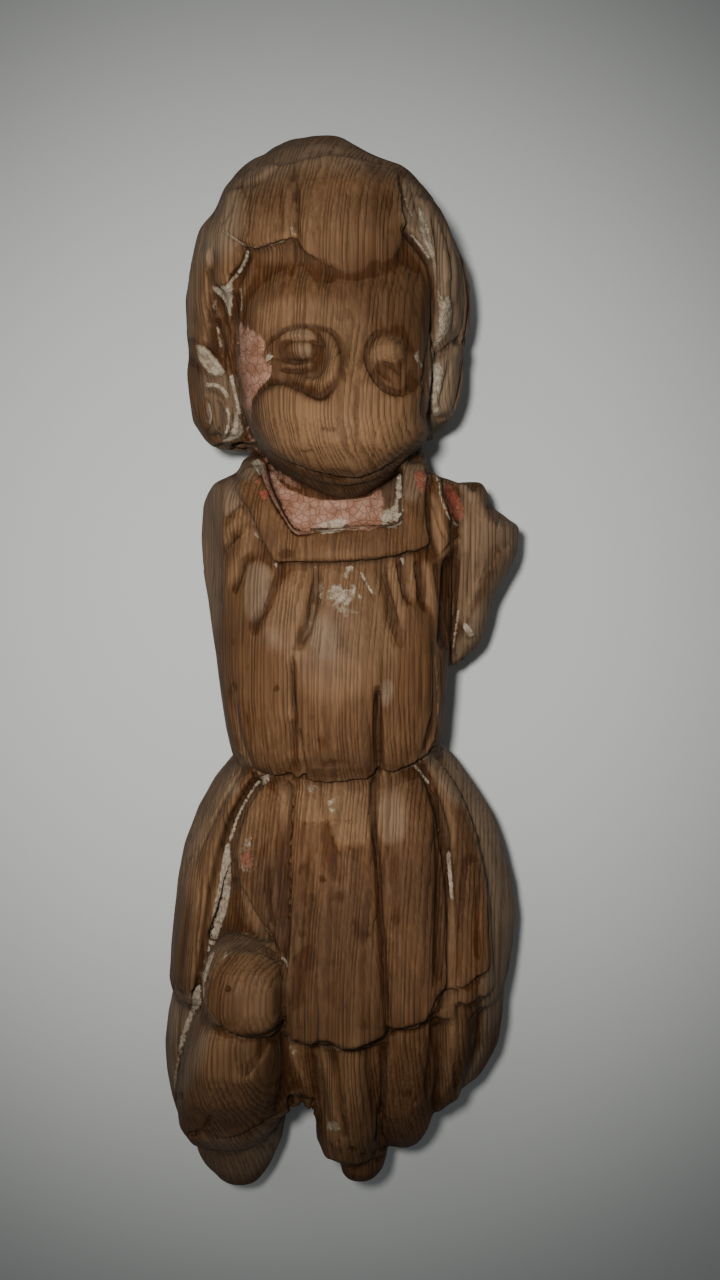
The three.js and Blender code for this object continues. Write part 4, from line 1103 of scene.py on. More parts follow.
@dataclass
class Legs:
    """The wrapped bent leg with its stump, the straight leg in its cuff, and the splinters between them."""

    def first_cuts(self) -> Marks:
        """The main forms."""
        vee, gouge, ridge = Profile.VEE, Profile.GOUGE, Profile.RIDGE
        return {
            "crotch": Grab((301, 1118), (24, 30), (0, -15)),
            "stump": Grab((238, 1172), (56, 34), (0, 6)),
            "stump left": Grab((200, 1158), (18, 30), (-5, 0)),
            "cuff right": Grab((388, 1162), (18, 24), (5, 0)),
            "shin fold": Step(((271, 1039), (263, 1054), (252, 1068), (240, 1082)), 0.6, 1.1, 4.5, 0.2),
            "trouser hem": Step(((188, 1131), (196, 1132), (206, 1130), (222, 1138), (240, 1134),
                (254, 1126), (268, 1118), (284, 1110)), 0.4, 1.1, 4, 0.1),
            "leg side": Stroke(((382, 1046), (382, 1070), (382, 1100), (379, 1142)), 2.6, 2.6, vee, 0.05),
            "inner fold": Step(((338, 1052), (340, 1085), (344, 1115), (348, 1142)), 0.4, 1.0, 4, 0.1),
            "inner bank": Stroke(((322, 1048), (328, 1080), (333, 1110), (339, 1136)), 4.0, 0.9, ridge),
            "fringe fold": Stroke(((315, 1050), (316, 1080), (316, 1104)), 2.2, 0.8, gouge),
            "cuff": Step(((320, 1153), (330, 1160), (342, 1163), (356, 1164), (368, 1161), (382, 1154)),
                0.4, 1.6, 3, 0.05),
        }

    def fine_cuts(self) -> Marks:
        """Splinters, gouges and creases."""
        vee, gouge, ridge = Profile.VEE, Profile.GOUGE, Profile.RIDGE
        return {
            "left splinter": Mound((291, 1103), (3.4, 9), -3.0, 0, 2.6),
            "middle splinter": Mound((302, 1108), (2.6, 7), -3.0, 0, 2.6),
            "right splinter": Mound((312, 1107), (3.0, 7), -3.0, 0, 2.6),
            "splinter hole": Mound((311, 1100), (4, 3), -1.6, 0),
            "shin line": Stroke(((271, 1040), (263, 1054), (252, 1068), (240, 1082)), 1.0, 0.9, vee),
            "side line": Stroke(((382, 1048), (382, 1075), (382, 1100), (380, 1134)), 1.0, 1.2, vee, 0.05),
            "fringe ridge": Stroke(((292, 1046), (296, 1062), (304, 1080)), 1.8, 0.6, ridge),
            "fringe tuft": Mound((310, 1096), (2.4, 3), 0.7, 0),
            "bright facet": Mound((334, 1127), (8, 8), -0.6, 20),
            "cuff pit": Mound((330, 1146), (3, 4), -0.8, 10),
            "cuff pit two": Mound((338, 1142), (3, 4), -0.7, 10),
            "cuff pit three": Mound((352, 1150), (5, 4), -0.6, 10),
            "cuff nick": Mound((364, 1156), (4, 4), -1.2, 10),
            "cuff crease": Stroke(((372, 1154), (382, 1149), (392, 1146)), 1.4, 1.0, vee),
            "ankle crease": Stroke(((355, 1165), (355, 1173), (353, 1180)), 1.2, 0.6, gouge),
            "hem fold": Stroke(((203, 1130), (208, 1123), (212, 1114)), 1.2, 0.8, vee),
            "hem notch": Mound((192, 1135), (6, 4), -1.8),
            "hem notch two": Mound((180, 1096), (4, 5), -0.8),
            "leg notch": Mound((316, 1128), (3, 5), -1.0),
            "ankle notch": Mound((376, 1180), (4, 4), -1.2),
            "ankle chip": Mound((338, 1166), (5, 5), -1.0),
        }

    def colours(self) -> Colours:
        """Bare pale ridges, grey on the stump, painted shade between the legs, at the cuff, under the ankle
        and down the leg's side, and remains of ground.
        """
        gesso, pale, grey, dark = Coat.GESSO, Coat.PALE, Coat.GREY, Coat.DARK
        return {
            "facet ground": Patch(gesso, ((327, 1121), (338, 1122), (342, 1133), (334, 1132), (327, 1130)),
                0.6, 0.8),
            "fringe ground": Patch(gesso, ((289, 1044), (297, 1044), (299, 1054), (292, 1058)), 0.4, 0.8),
            "shin pale": Patch(pale, ((196, 1040), (240, 1042), (262, 1060), (250, 1118), (206, 1128),
                (188, 1090)), 0.4, 5.0),
            "straight leg pale": Patch(pale, ((340, 1052), (378, 1052), (378, 1150), (340, 1158)), 0.35, 5.0),
            "stump pale": Patch(grey, ((202, 1140), (244, 1140), (248, 1176), (216, 1174)), 0.6, 3.0),
            "bank pale": Patch(pale, ((318, 1048), (330, 1048), (336, 1090), (343, 1134), (326, 1138),
                (320, 1090)), 0.75, 1.2),
            "fringe pale": Patch(pale, ((288, 1042), (298, 1043), (306, 1078), (304, 1086), (294, 1066)),
                0.6, 1.0),
            "cuff pale": Patch(pale, ((320, 1138), (344, 1138), (346, 1160), (328, 1158)), 0.45, 1.2),
            "leg grey": Patch(grey, ((200, 1030), (214, 1022), (204, 1060), (184, 1092), (180, 1072)),
                0.5, 2.0),
            "stump grey": Patch(grey, ((284, 1114), (285, 1140), (262, 1166), (246, 1176), (244, 1150),
                (262, 1126)), 0.7, 1.5),
            # Painted shade: the dark marks below darken the crotch, the cuff, the ankle's underside and the
            # groove down the leg's side.
            "crotch dark": Patch(dark, ((282, 1088), (290, 1080), (292, 1100), (284, 1110)), 0.7, 1.0),
            "cuff dark": Patch(dark, ((348, 1142), (380, 1138), (382, 1160), (352, 1162)), 0.45, 1.5),
            "ankle dark": Patch(dark, ((356, 1166), (382, 1164), (378, 1180), (356, 1180)), 0.5, 1.2),
            "side dark": Trace(dark, ((382, 1048), (382, 1075), (382, 1100), (380, 1136)), 1.2, 1.0),
        }


@dataclass
class Sleeve:
    """The broken sleeve on the viewer's right, with the scrolls that join it to the collar."""

    def first_cuts(self) -> Marks:
        """The main forms."""
        vee, gouge = Profile.VEE, Profile.GOUGE
        return {
            "top corner": Grab((507, 498), (34, 34), (-12, 12)),
            "lower side": Grab((512, 606), (48, 60), (-13, -4)),
            "valley": Mound((474, 487), (8, 6), -1.6),
            "strap side": Stroke(((429, 476), (429, 505), (432, 530), (440, 556)), 2.8, 1.5, vee, 0.1),
            "scroll": Step(((464, 530), (455, 526), (448, 516), (443, 502), (440, 487), (433, 470)),
                0.7, 1.0, 3.5, 0.1),
            "recess": Stroke(((452, 556), (450, 590), (448, 622), (446, 652)), 6.0, 3.0, gouge, 0.15),
            "sleeve edge": Step(((452, 662), (456, 635), (459, 605), (461, 575), (463, 546)),
                -0.2, 1.0, 4, 0.1),
            "upper facet": Step(((514, 547), (503, 549), (496, 556), (492, 572)), 0.6, 0.9, 4, 0.1),
            "broken plane": Step(((462, 628), (472, 610), (480, 596), (488, 580), (492, 566)),
                0.5, 0.9, 4, 0.1),
            "top facet": Step(((497, 532), (500, 516), (499, 502), (496, 489)), 0.4, 0.8, 4, 0.1),
            "side nick": Mound((521, 555), (7, 5), -1.6),
        }

    def fine_cuts(self) -> Marks:
        """Chisel facets and broken edges."""
        vee, gouge, ridge = Profile.VEE, Profile.GOUGE, Profile.RIDGE
        return {
            "scroll rim": Stroke(((434, 472), (439, 484), (441, 498), (446, 511), (454, 523), (462, 527)),
                1.6, 0.9, ridge),
            "scroll hollow": Stroke(((446, 488), (452, 500), (458, 512)), 3.0, 0.7, gouge),
            "scroll curl": Stroke(((449, 527), (452, 536), (458, 534)), 1.3, 0.6, ridge),
            "scroll line": Stroke(((432, 498), (437, 516), (443, 532), (449, 540)), 1.4, 0.8, gouge),
            "fan line": Stroke(((441, 556), (448, 548), (456, 540), (462, 535)), 1.3, 0.9, vee),
            "edge rim": Stroke(((462, 548), (461, 578), (458, 606), (454, 636), (451, 660)),
                1.5, 0.7, ridge),
            "body ridge": Stroke(((472, 497), (475, 520), (472, 560), (469, 602)), 3.0, 0.7, ridge),
            "body groove": Stroke(((466, 500), (468, 530), (466, 570), (464, 600)), 1.6, 0.7, gouge),
            "body groove two": Stroke(((481, 505), (482, 530), (479, 560), (474, 590)), 1.6, 0.8, gouge),
            "body split": Stroke(((476, 590), (482, 580), (487, 566)), 1.2, 0.9, vee),
            "knot": Mound((490, 507), (6, 5), -0.6, 20),
            "top line": Stroke(((497, 489), (500, 505), (500, 518), (498, 530)), 1.0, 0.9, vee),
            "low groove": Stroke(((474, 600), (468, 612), (462, 622)), 1.4, 0.7, gouge),
            "triangle": Relief(((464, 622), (476, 635), (465, 637)), 0.5, 0.7),
            "crest": Mound((478, 490), (5, 5), 0.8),
            "outline dent": Mound((502, 621), (6, 4), -0.8),
            "outline dent two": Mound((464, 661), (6, 4), -0.8),
        }

    def colours(self) -> Colours:
        """Red in the scrolls, pale worn ridges, grey broken wood, and painted shade in the recess and on the
        broken face turned from the light.
        """
        gesso, pale, grey, dark = Coat.GESSO, Coat.PALE, Coat.GREY, Coat.DARK
        return {
            "scroll red": Patch(Coat.RED, ((442, 484), (453, 484), (461, 498), (466, 512), (460, 522),
                (451, 515), (445, 502)), 0.6, 1.2),
            "scroll ground": Trace(gesso, ((434, 472), (439, 484), (441, 498), (446, 511), (454, 523),
                (462, 527)), 0.8, 0.75),
            "triangle ground": Patch(gesso, ((465, 622), (475, 634), (468, 636), (463, 628)), 0.85, 0.6),
            "edge ground": Trace(gesso, ((459, 608), (456, 630), (453, 650)), 1.0, 0.6),
            "facet ground": Trace(gesso, ((500, 518), (498, 532)), 0.9, 0.6),
            "top ground": Patch(gesso, ((501, 496), (508, 502), (508, 516), (502, 516)), 0.4, 1.0),
            "fan pale": Patch(pale, ((430, 496), (437, 504), (448, 536), (460, 540), (442, 558),
                (434, 545)), 0.8, 1.0),
            "body pale": Patch(pale, ((463, 500), (480, 496), (484, 540), (480, 580), (466, 620),
                (460, 620), (463, 560)), 0.9, 1.2),
            "strap grey": Patch(grey, ((430, 466), (456, 479), (474, 489), (476, 505), (466, 500),
                (455, 484), (436, 476)), 0.75, 1.2),
            "body grey": Patch(grey, ((462, 500), (480, 490), (498, 490), (496, 550), (476, 600),
                (462, 620)), 0.4, 2.0),
            "outer grey": Patch(grey, ((498, 490), (520, 515), (518, 548), (500, 550), (496, 530)),
                0.55, 1.0),
            "break grey": Patch(grey, ((498, 556), (518, 552), (519, 590), (500, 620), (470, 650),
                (452, 662), (462, 632), (486, 590)), 0.55, 1.2),
            # Painted shade: the dark marks below darken the recess and the broken face turned away from the
            # light.
            "recess dark": Patch(dark, ((443, 556), (460, 546), (458, 600), (450, 655), (444, 640)),
                0.7, 1.2),
            "break dark": Patch(dark, ((486, 556), (496, 556), (490, 590), (472, 612), (478, 590)),
                0.5, 1.2),
        }


@dataclass
class Rear:
    """What the photograph hides: hair and pleats on the sides, and the hewn back."""

    head: tuple[float, float] = (71.0, 165.0)
    skirt: tuple[float, float] = (-118.0, -30.0)

    def first_cuts(self) -> Marks:
        """Locks and pleats on both sides. Each is laid out in Y and Z."""
        marks: Marks = {}
        low, high = self.head
        bottom, top = self.skirt
        for view, lean in ((View.LEFT, 1.0), (View.RIGHT, -1.0)):
            for lock in range(5):
                z = 12.0 + 9.0 * lock
                wave = 2.5 * math.sin(2.0 * lock + lean)
                upper = ((high - 12 - 1.5 * lock, z + 6), (high - 34, z + wave))
                path = (*upper, (low + 34, z - wave), (low + 6, z + 2))
                marks[f"{view.value} lock {lock}"] = Stroke(path, 5.0, 1.5, Profile.GOUGE, 0.2, view)
            for pleat in range(3):
                z = 10.0 + 9.5 * pleat
                path = ((top - 6, z + 8), (-70.0, z + lean), (bottom + 4, z - 2))
                marks[f"{view.value} pleat {pleat}"] = Stroke(path, 4.6, 1.3, Profile.GOUGE, 0.2, view)
        return marks

    def fine_cuts(self) -> Marks:
        """Drying splits in the back, and finer lines in the locks."""
        marks: Marks = {}
        splits = {
            "upper split": (-6.0, 150.0, 40.0),
            "lower split": (9.0, 20.0, -120.0),
            "side split": (-22.0, -10.0, -90.0),
        }
        for name, (x, start, end) in splits.items():
            path = ((x, start), (x + 1.5, (start + end) / 2), (x - 0.5, end))
            marks[name] = Stroke(path, 1.6, 1.8, Profile.VEE, 0.3, View.BACK)
        low, high = self.head
        for view in (View.LEFT, View.RIGHT):
            for line in range(9):
                z = 10.0 + 5.2 * line
                wave = 2.0 * math.sin(1.7 * line)
                path = ((high - 20 - 2 * line, z + 4), (high - 44, z + wave), (low + 12, z - wave))
                marks[f"{view.value} hair line {line}"] = Stroke(path, 1.6, 0.6, Profile.GOUGE, 0.25, view)
        return marks

    def colours(self) -> Colours:
        """Nothing is painted out of sight."""
        return {}


@dataclass(frozen=True)
class WoodFinish:
    """Old pine. Colours are linear, lengths are metres."""

    early: tuple[float, float, float] = (0.062, 0.0225, 0.0055)
    late: tuple[float, float, float] = (0.034, 0.0115, 0.0028)
    bare_early: tuple[float, float, float] = (0.160, 0.086, 0.041)
    bare_late: tuple[float, float, float] = (0.096, 0.047, 0.020)
    greyed: tuple[float, float, float] = (0.215, 0.158, 0.104)
    # The dark tone that takes the dark coat's painted shade, the dust and painted shade in deep hollows, and
    # the cracks in the flesh paint.
    dust_and_shade_tone: tuple[float, float, float] = (0.021, 0.011, 0.006)
    pith: tuple[float, float] = (-0.155, 0.02)
    ring: float = 0.0013
    ridge: float = 0.0002


@dataclass(frozen=True)
class PaintFinish:
    """Remains of ground and paint. Colours are linear, lengths are metres."""

    ground: tuple[float, float, float] = (0.38, 0.32, 0.24)
    ground_stain: tuple[float, float, float] = (0.19, 0.135, 0.085)
    flesh: tuple[float, float, float] = (0.38, 0.215, 0.155)
    flesh_worn: tuple[float, float, float] = (0.25, 0.115, 0.068)
    red: tuple[float, float, float] = (0.24, 0.055, 0.035)
    crack: float = 0.0022


class Graph:
    """A node tree with short calls to add and join nodes."""

    def __init__(self, tree: bpy.types.NodeTree) -> None:
        """Takes an empty tree."""
        self.tree = tree

    def add(self, kind: str, inputs: dict | None = None, **settings: object) -> bpy.types.Node:
        """Adds a node.

        Args:
            kind: the node's type name without its ShaderNode prefix.
            inputs: input names or numbers, each with a value or a socket to join to it.
            settings: the node's own properties.

        Returns:
            The node.
        """
        node = self.tree.nodes.new(kind if kind.startswith("Node") else "ShaderNode" + kind)
        for name, value in settings.items():
            setattr(node, name, value)
        for name, value in (inputs or {}).items():
            socket = node.inputs[name]
            if isinstance(value, bpy.types.NodeSocket):
                self.tree.links.new(value, socket)
            elif isinstance(value, tuple) and len(value) == 3 and socket.type == "RGBA":
                socket.default_value = (*value, 1.0)
            else:
                socket.default_value = value
        return node

    def math(self, operation: str, *values: object, clamp: bool = False) -> bpy.types.NodeSocket:
        """Adds a Math node and returns its value."""
        return self.add("Math", dict(enumerate(values)), operation=operation, use_clamp=clamp).outputs[0]

    def ease(self, value: object, low: object, high: object, to_low: float = 0.0,
             to_high: float = 1.0) -> bpy.types.NodeSocket:
        """Adds a smooth step from one value to another and returns it."""
        inputs = {"Value": value, "From Min": low, "From Max": high, "To Min": to_low, "To Max": to_high}
        return self.add("MapRange", inputs, interpolation_type="SMOOTHSTEP").outputs[0]

    def mix(self, factor: object, first: object, second: object, blend: str = "MIX") -> bpy.types.NodeSocket:
        """Adds a colour mix and returns it."""
        node = self.add("Mix", data_type="RGBA", blend_type=blend)
        for socket, value in ((node.inputs[0], factor), (node.inputs[6], first), (node.inputs[7], second)):
            if isinstance(value, bpy.types.NodeSocket):
                self.tree.links.new(value, socket)
            elif isinstance(value, tuple):
                socket.default_value = (*value, 1.0)
            else:
                socket.default_value = value
        return node.outputs[2]

    def shaded(self, colour: bpy.types.NodeSocket, value: bpy.types.NodeSocket) -> bpy.types.NodeSocket:
        """Multiplies a colour by a value and returns it."""
        grey = self.add("CombineColor", {0: value, 1: value, 2: value}).outputs[0]
        return self.mix(1.0, colour, grey, "MULTIPLY")

    def attribute(self, name: str) -> bpy.types.NodeSocket:
        """Reads a vertex attribute."""
        return self.add("Attribute", attribute_name=name, attribute_type="GEOMETRY").outputs["Fac"]

    def speckle(self, vector: object, scale: float, detail: float = 3.0,
                rough: float = 0.55) -> bpy.types.NodeSocket:
        """Adds noise and returns its value."""
        inputs = {"Vector": vector, "Scale": scale, "Detail": detail, "Roughness": rough}
        return self.add("TexNoise", inputs).outputs["Fac"]

    def stretched(self, vector: object, scale: tuple[float, float, float]) -> bpy.types.NodeSocket:
        """Scales a vector along its axes."""
        return self.add("Mapping", {"Vector": vector, "Scale": scale}).outputs[0]


def new_group(name: str, inputs: dict[str, tuple[str, object]], outputs: dict[str, str]) -> Graph:
    """Starts a shader node group with named sockets.

    Args:
        name: the group's name.
        inputs: each input's name, with its kind and its first value.
        outputs: each output's name and kind.

    Returns:
        A graph of the new group's tree, with an input and an output node in it.
    """
    tree = bpy.data.node_groups.new(name, "ShaderNodeTree")
    for label, (kind, value) in inputs.items():
        socket = tree.interface.new_socket(label, in_out="INPUT", socket_type="NodeSocket" + kind)
        if value is not None:
            socket.default_value = (*value, 1.0) if kind == "Color" else value
    for label, kind in outputs.items():
        tree.interface.new_socket(label, in_out="OUTPUT", socket_type="NodeSocket" + kind)
    graph = Graph(tree)
    graph.entry = tree.nodes.new("NodeGroupInput")
    graph.exit = tree.nodes.new("NodeGroupOutput")
    return graph


def growth_rings() -> bpy.types.NodeTree:
    """Builds the group that turns a place in the billet into growth rings and fibres.

    Returns:
        A group with Late, the dark line of each ring, Height, its worn ridge, and Fibre, fine streaks.
    """
    inputs = {"Vector": ("Vector", None), "Pith X": ("Float", -0.15), "Pith Z": ("Float", -0.06),
              "Ring": ("Float", 0.0014)}
    graph = new_group("growth_rings", inputs, {"Late": "Float", "Height": "Float", "Fibre": "Float"})
    vector = graph.entry.outputs["Vector"]
    place = graph.add("SeparateXYZ", {0: vector}).outputs
    across = graph.math("SUBTRACT", place[0], graph.entry.outputs["Pith X"])
    deep = graph.math("SUBTRACT", place[2], graph.entry.outputs["Pith Z"])
    radius = graph.math("SQRT", graph.math("ADD", graph.math("MULTIPLY", across, across),
                                           graph.math("MULTIPLY", deep, deep)))
    slow = graph.speckle(graph.stretched(vector, (30.0, 5.0, 30.0)), 1.0, 2.0)
    fast = graph.speckle(graph.stretched(vector, (420.0, 20.0, 420.0)), 1.0, 2.0)
    inputs = {"W": radius, "Scale": 160.0, "Detail": 1.0}
    years = graph.add("TexNoise", inputs, noise_dimensions="1D").outputs["Fac"]
    count = graph.math("DIVIDE", radius, graph.entry.outputs["Ring"])
    uneven = graph.math("ADD", count, graph.math("MULTIPLY", years, 3.2))
    bent = graph.math("ADD", uneven, graph.math("MULTIPLY", slow, 2.5))
    rough = graph.math("ADD", bent, graph.math("MULTIPLY", fast, 1.0))
    turn = graph.math("FRACT", rough)
    rise = graph.ease(turn, 0.3, 0.82)
    fall = graph.ease(turn, 0.9, 1.0, 1.0, 0.0)
    patches = graph.speckle(graph.stretched(vector, (300.0, 14.0, 300.0)), 1.0, 2.0)
    strength = graph.ease(patches, 0.3, 0.65, 0.3, 1.0)
    late = graph.math("MULTIPLY", graph.math("MULTIPLY", rise, fall), strength)
    fibre = graph.speckle(graph.stretched(vector, (2300.0, 70.0, 2300.0)), 1.0, 3.0, 0.6)
    graph.tree.links.new(late, graph.exit.inputs["Late"])
    height = graph.math("ADD", late, graph.math("MULTIPLY", fibre, 0.5))
    graph.tree.links.new(height, graph.exit.inputs["Height"])
    graph.tree.links.new(fibre, graph.exit.inputs["Fibre"])
    return graph.tree


def ragged_edge() -> bpy.types.NodeTree:
    """Builds the group that breaks the soft border of a coat into chips and flakes.

    Returns:
        A group that turns an Amount into a Mask. Bite is how far flakes eat into it.
    """
    inputs = {"Vector": ("Vector", None), "Amount": ("Float", 0.0), "Bite": ("Float", 0.5),
              "Scale": ("Float", 900.0)}
    graph = new_group("ragged_edge", inputs, {"Mask": "Float"})
    vector = graph.entry.outputs["Vector"]
    inputs = {"Vector": vector, "Scale": graph.entry.outputs["Scale"], "Detail": 4.0, "Roughness": 0.65}
    flakes = graph.add("TexNoise", inputs).outputs["Fac"]
    centred = graph.math("MULTIPLY", graph.math("SUBTRACT", flakes, 0.5), graph.entry.outputs["Bite"])
    level = graph.math("ADD", graph.entry.outputs["Amount"], centred)
    graph.tree.links.new(graph.ease(level, 0.32, 0.72), graph.exit.inputs["Mask"])
    return graph.tree


@dataclass
class FigureMaterial:
    """The finish of the whole figure: old pine with what is left of its paint, and painted shade in its
    creases and hollows.
    """

    wood: WoodFinish = WoodFinish()
    paint: PaintFinish = PaintFinish()

    def build(self) -> bpy.types.Material:
        """Builds the material."""
        material = bpy.data.materials.new("weathered_pine")
        material.use_nodes = True
        tree = material.node_tree
        shader = tree.nodes["Principled BSDF"]
        graph = Graph(tree)
        self.place = graph.add("TexCoord").outputs["Object"]
        self.ragged = ragged_edge()
        colour, height, rough = self.bare_wood(graph)
        colour, height, rough = self.painted(graph, colour, height, rough)
        bump = graph.add("Bump", {"Strength": 1.0, "Distance": self.wood.ridge, "Height": height})
        tree.links.new(colour, shader.inputs["Base Color"])
        tree.links.new(rough, shader.inputs["Roughness"])
        tree.links.new(bump.outputs[0], shader.inputs["Normal"])
        gloss = graph.ease(graph.attribute(Coat.SHINE.value), 0.0, 1.0, 0.14, 0.35)
        tree.links.new(gloss, shader.inputs["Specular IOR Level"])
        return material

    def torn(self, graph: Graph, coat: Coat, bite: float, scale: float) -> bpy.types.NodeSocket:
        """Reads a coat with a broken border."""
        node = graph.add("Group", node_tree=self.ragged)
        graph.tree.links.new(self.place, node.inputs["Vector"])
        graph.tree.links.new(graph.attribute(coat.value), node.inputs["Amount"])
        node.inputs["Bite"].default_value = bite
        node.inputs["Scale"].default_value = scale
        return node.outputs["Mask"]

    def bare_wood(self, graph: Graph) -> tuple[bpy.types.NodeSocket, ...]:
        """Lays down the wood, its wear and weathering, and painted shade from the dark coat and the deep
        hollows.

        Returns:
            Its colour, its height and its roughness.
        """
        wood = self.wood
        rings = graph.add("Group", node_tree=growth_rings())
        graph.tree.links.new(self.place, rings.inputs["Vector"])
        rings.inputs["Pith X"].default_value = wood.pith[0]
        rings.inputs["Pith Z"].default_value = wood.pith[1]
        rings.inputs["Ring"].default_value = wood.ring
        late, height, fibre = (rings.outputs[name] for name in ("Late", "Height", "Fibre"))
        patina = graph.mix(late, wood.early, wood.late)
        bare = graph.mix(late, wood.bare_early, wood.bare_late)
        streaks = graph.speckle(graph.stretched(self.place, (900.0, 26.0, 900.0)), 1.0, 3.0)
        streak = graph.ease(streaks, 0.45, 0.68)
        pale = graph.attribute(Coat.PALE.value)
        cloud = graph.speckle(self.place, 55.0, 4.0)
        worn = graph.math("MULTIPLY", pale, graph.ease(cloud, 0.3, 0.55, 0.55, 1.0))
        worn = graph.math("ADD", worn, graph.math("MULTIPLY", streak, 0.25), clamp=True)
        ridge = graph.ease(graph.attribute("hollow"), -0.02, -0.16)
        worn = graph.math("ADD", worn, graph.math("MULTIPLY", ridge, 0.35), clamp=True)
        colour = graph.mix(worn, patina, bare)
        tint = graph.ease(graph.speckle(self.place, 28.0, 3.0), 0.3, 0.7, 0.78, 1.18)
        colour = graph.shaded(colour, tint)
        fine = graph.ease(fibre, 0.3, 0.7, 0.8, 1.16)
        colour = graph.shaded(colour, fine)
        silver = graph.ease(cloud, 0.25, 0.6, 0.45, 0.85)
        grey = graph.math("MULTIPLY", graph.attribute(Coat.GREY.value), silver)
        greyed = graph.mix(graph.math("MULTIPLY", late, 0.6), wood.greyed, wood.bare_late)
        colour = graph.mix(grey, colour, greyed)
        # Painted shade: the dark coat, broken up by cloud noise, and the deep hollows, where it is dust and
        # painted shade, are mixed towards the dark tone.
        shade_patchiness = graph.ease(cloud, 0.3, 0.7, 0.3, 0.6)
        dark = graph.math("MULTIPLY", graph.attribute(Coat.DARK.value), shade_patchiness)
        deep = graph.ease(graph.attribute("hollow"), 0.05, 0.5, 0.0, 0.45)
        dust_and_shade_amount = graph.math("MAXIMUM", dark, deep)
        colour = graph.mix(dust_and_shade_amount, colour, wood.dust_and_shade_tone)
        rough = graph.ease(graph.attribute(Coat.SHINE.value), 0.0, 1.0, 0.72, 0.5)
        rough = graph.math("ADD", rough, graph.math("MULTIPLY", graph.math("SUBTRACT", fibre, 0.5), 0.25))
        return colour, height, rough

    def painted(self, graph: Graph, colour: object, height: object, rough: object) -> tuple[object, ...]:
        """Lays ground, flesh and red over the wood.

        Returns:
            The colour, height and roughness of the whole.
        """
        paint = self.paint
        stain = graph.ease(graph.speckle(self.place, 420.0, 5.0, 0.7), 0.42, 0.68)
        ground = graph.mix(stain, paint.ground, paint.ground_stain)
        cells = graph.add("TexVoronoi", {"Vector": self.place, "Scale": 1 / paint.crack, "Randomness": 1.0},
                          feature="DISTANCE_TO_EDGE").outputs["Distance"]
        line = graph.ease(cells, 0.015, 0.07, 1.0, 0.0)
        rubbed = graph.ease(graph.speckle(self.place, 240.0, 4.0), 0.35, 0.65)
        flesh = graph.mix(rubbed, paint.flesh, paint.flesh_worn)
        flesh = graph.mix(graph.math("MULTIPLY", line, 0.22), flesh, self.wood.dust_and_shade_tone)
        masks = (
            (self.torn(graph, Coat.FLESH, 0.7, 420.0), flesh),
            (self.torn(graph, Coat.GESSO, 1.1, 650.0), ground),
            (self.torn(graph, Coat.RED, 0.8, 700.0), graph.mix(stain, paint.red, paint.flesh_worn)),
        )
        cover = None
        for mask, tone in masks:
            colour = graph.mix(graph.math("MULTIPLY", mask, 0.8), colour, tone)
            cover = mask if cover is None else graph.math("MAXIMUM", cover, mask)
        flat = graph.math("SUBTRACT", 1.35, graph.math("MULTIPLY", line, 0.8))
        height = graph.add("Mix", {0: cover, 2: height, 3: flat}).outputs[0]
        rough = graph.add("Mix", {0: cover, 2: rough, 3: 0.72}).outputs[0]
        return colour, height, rough


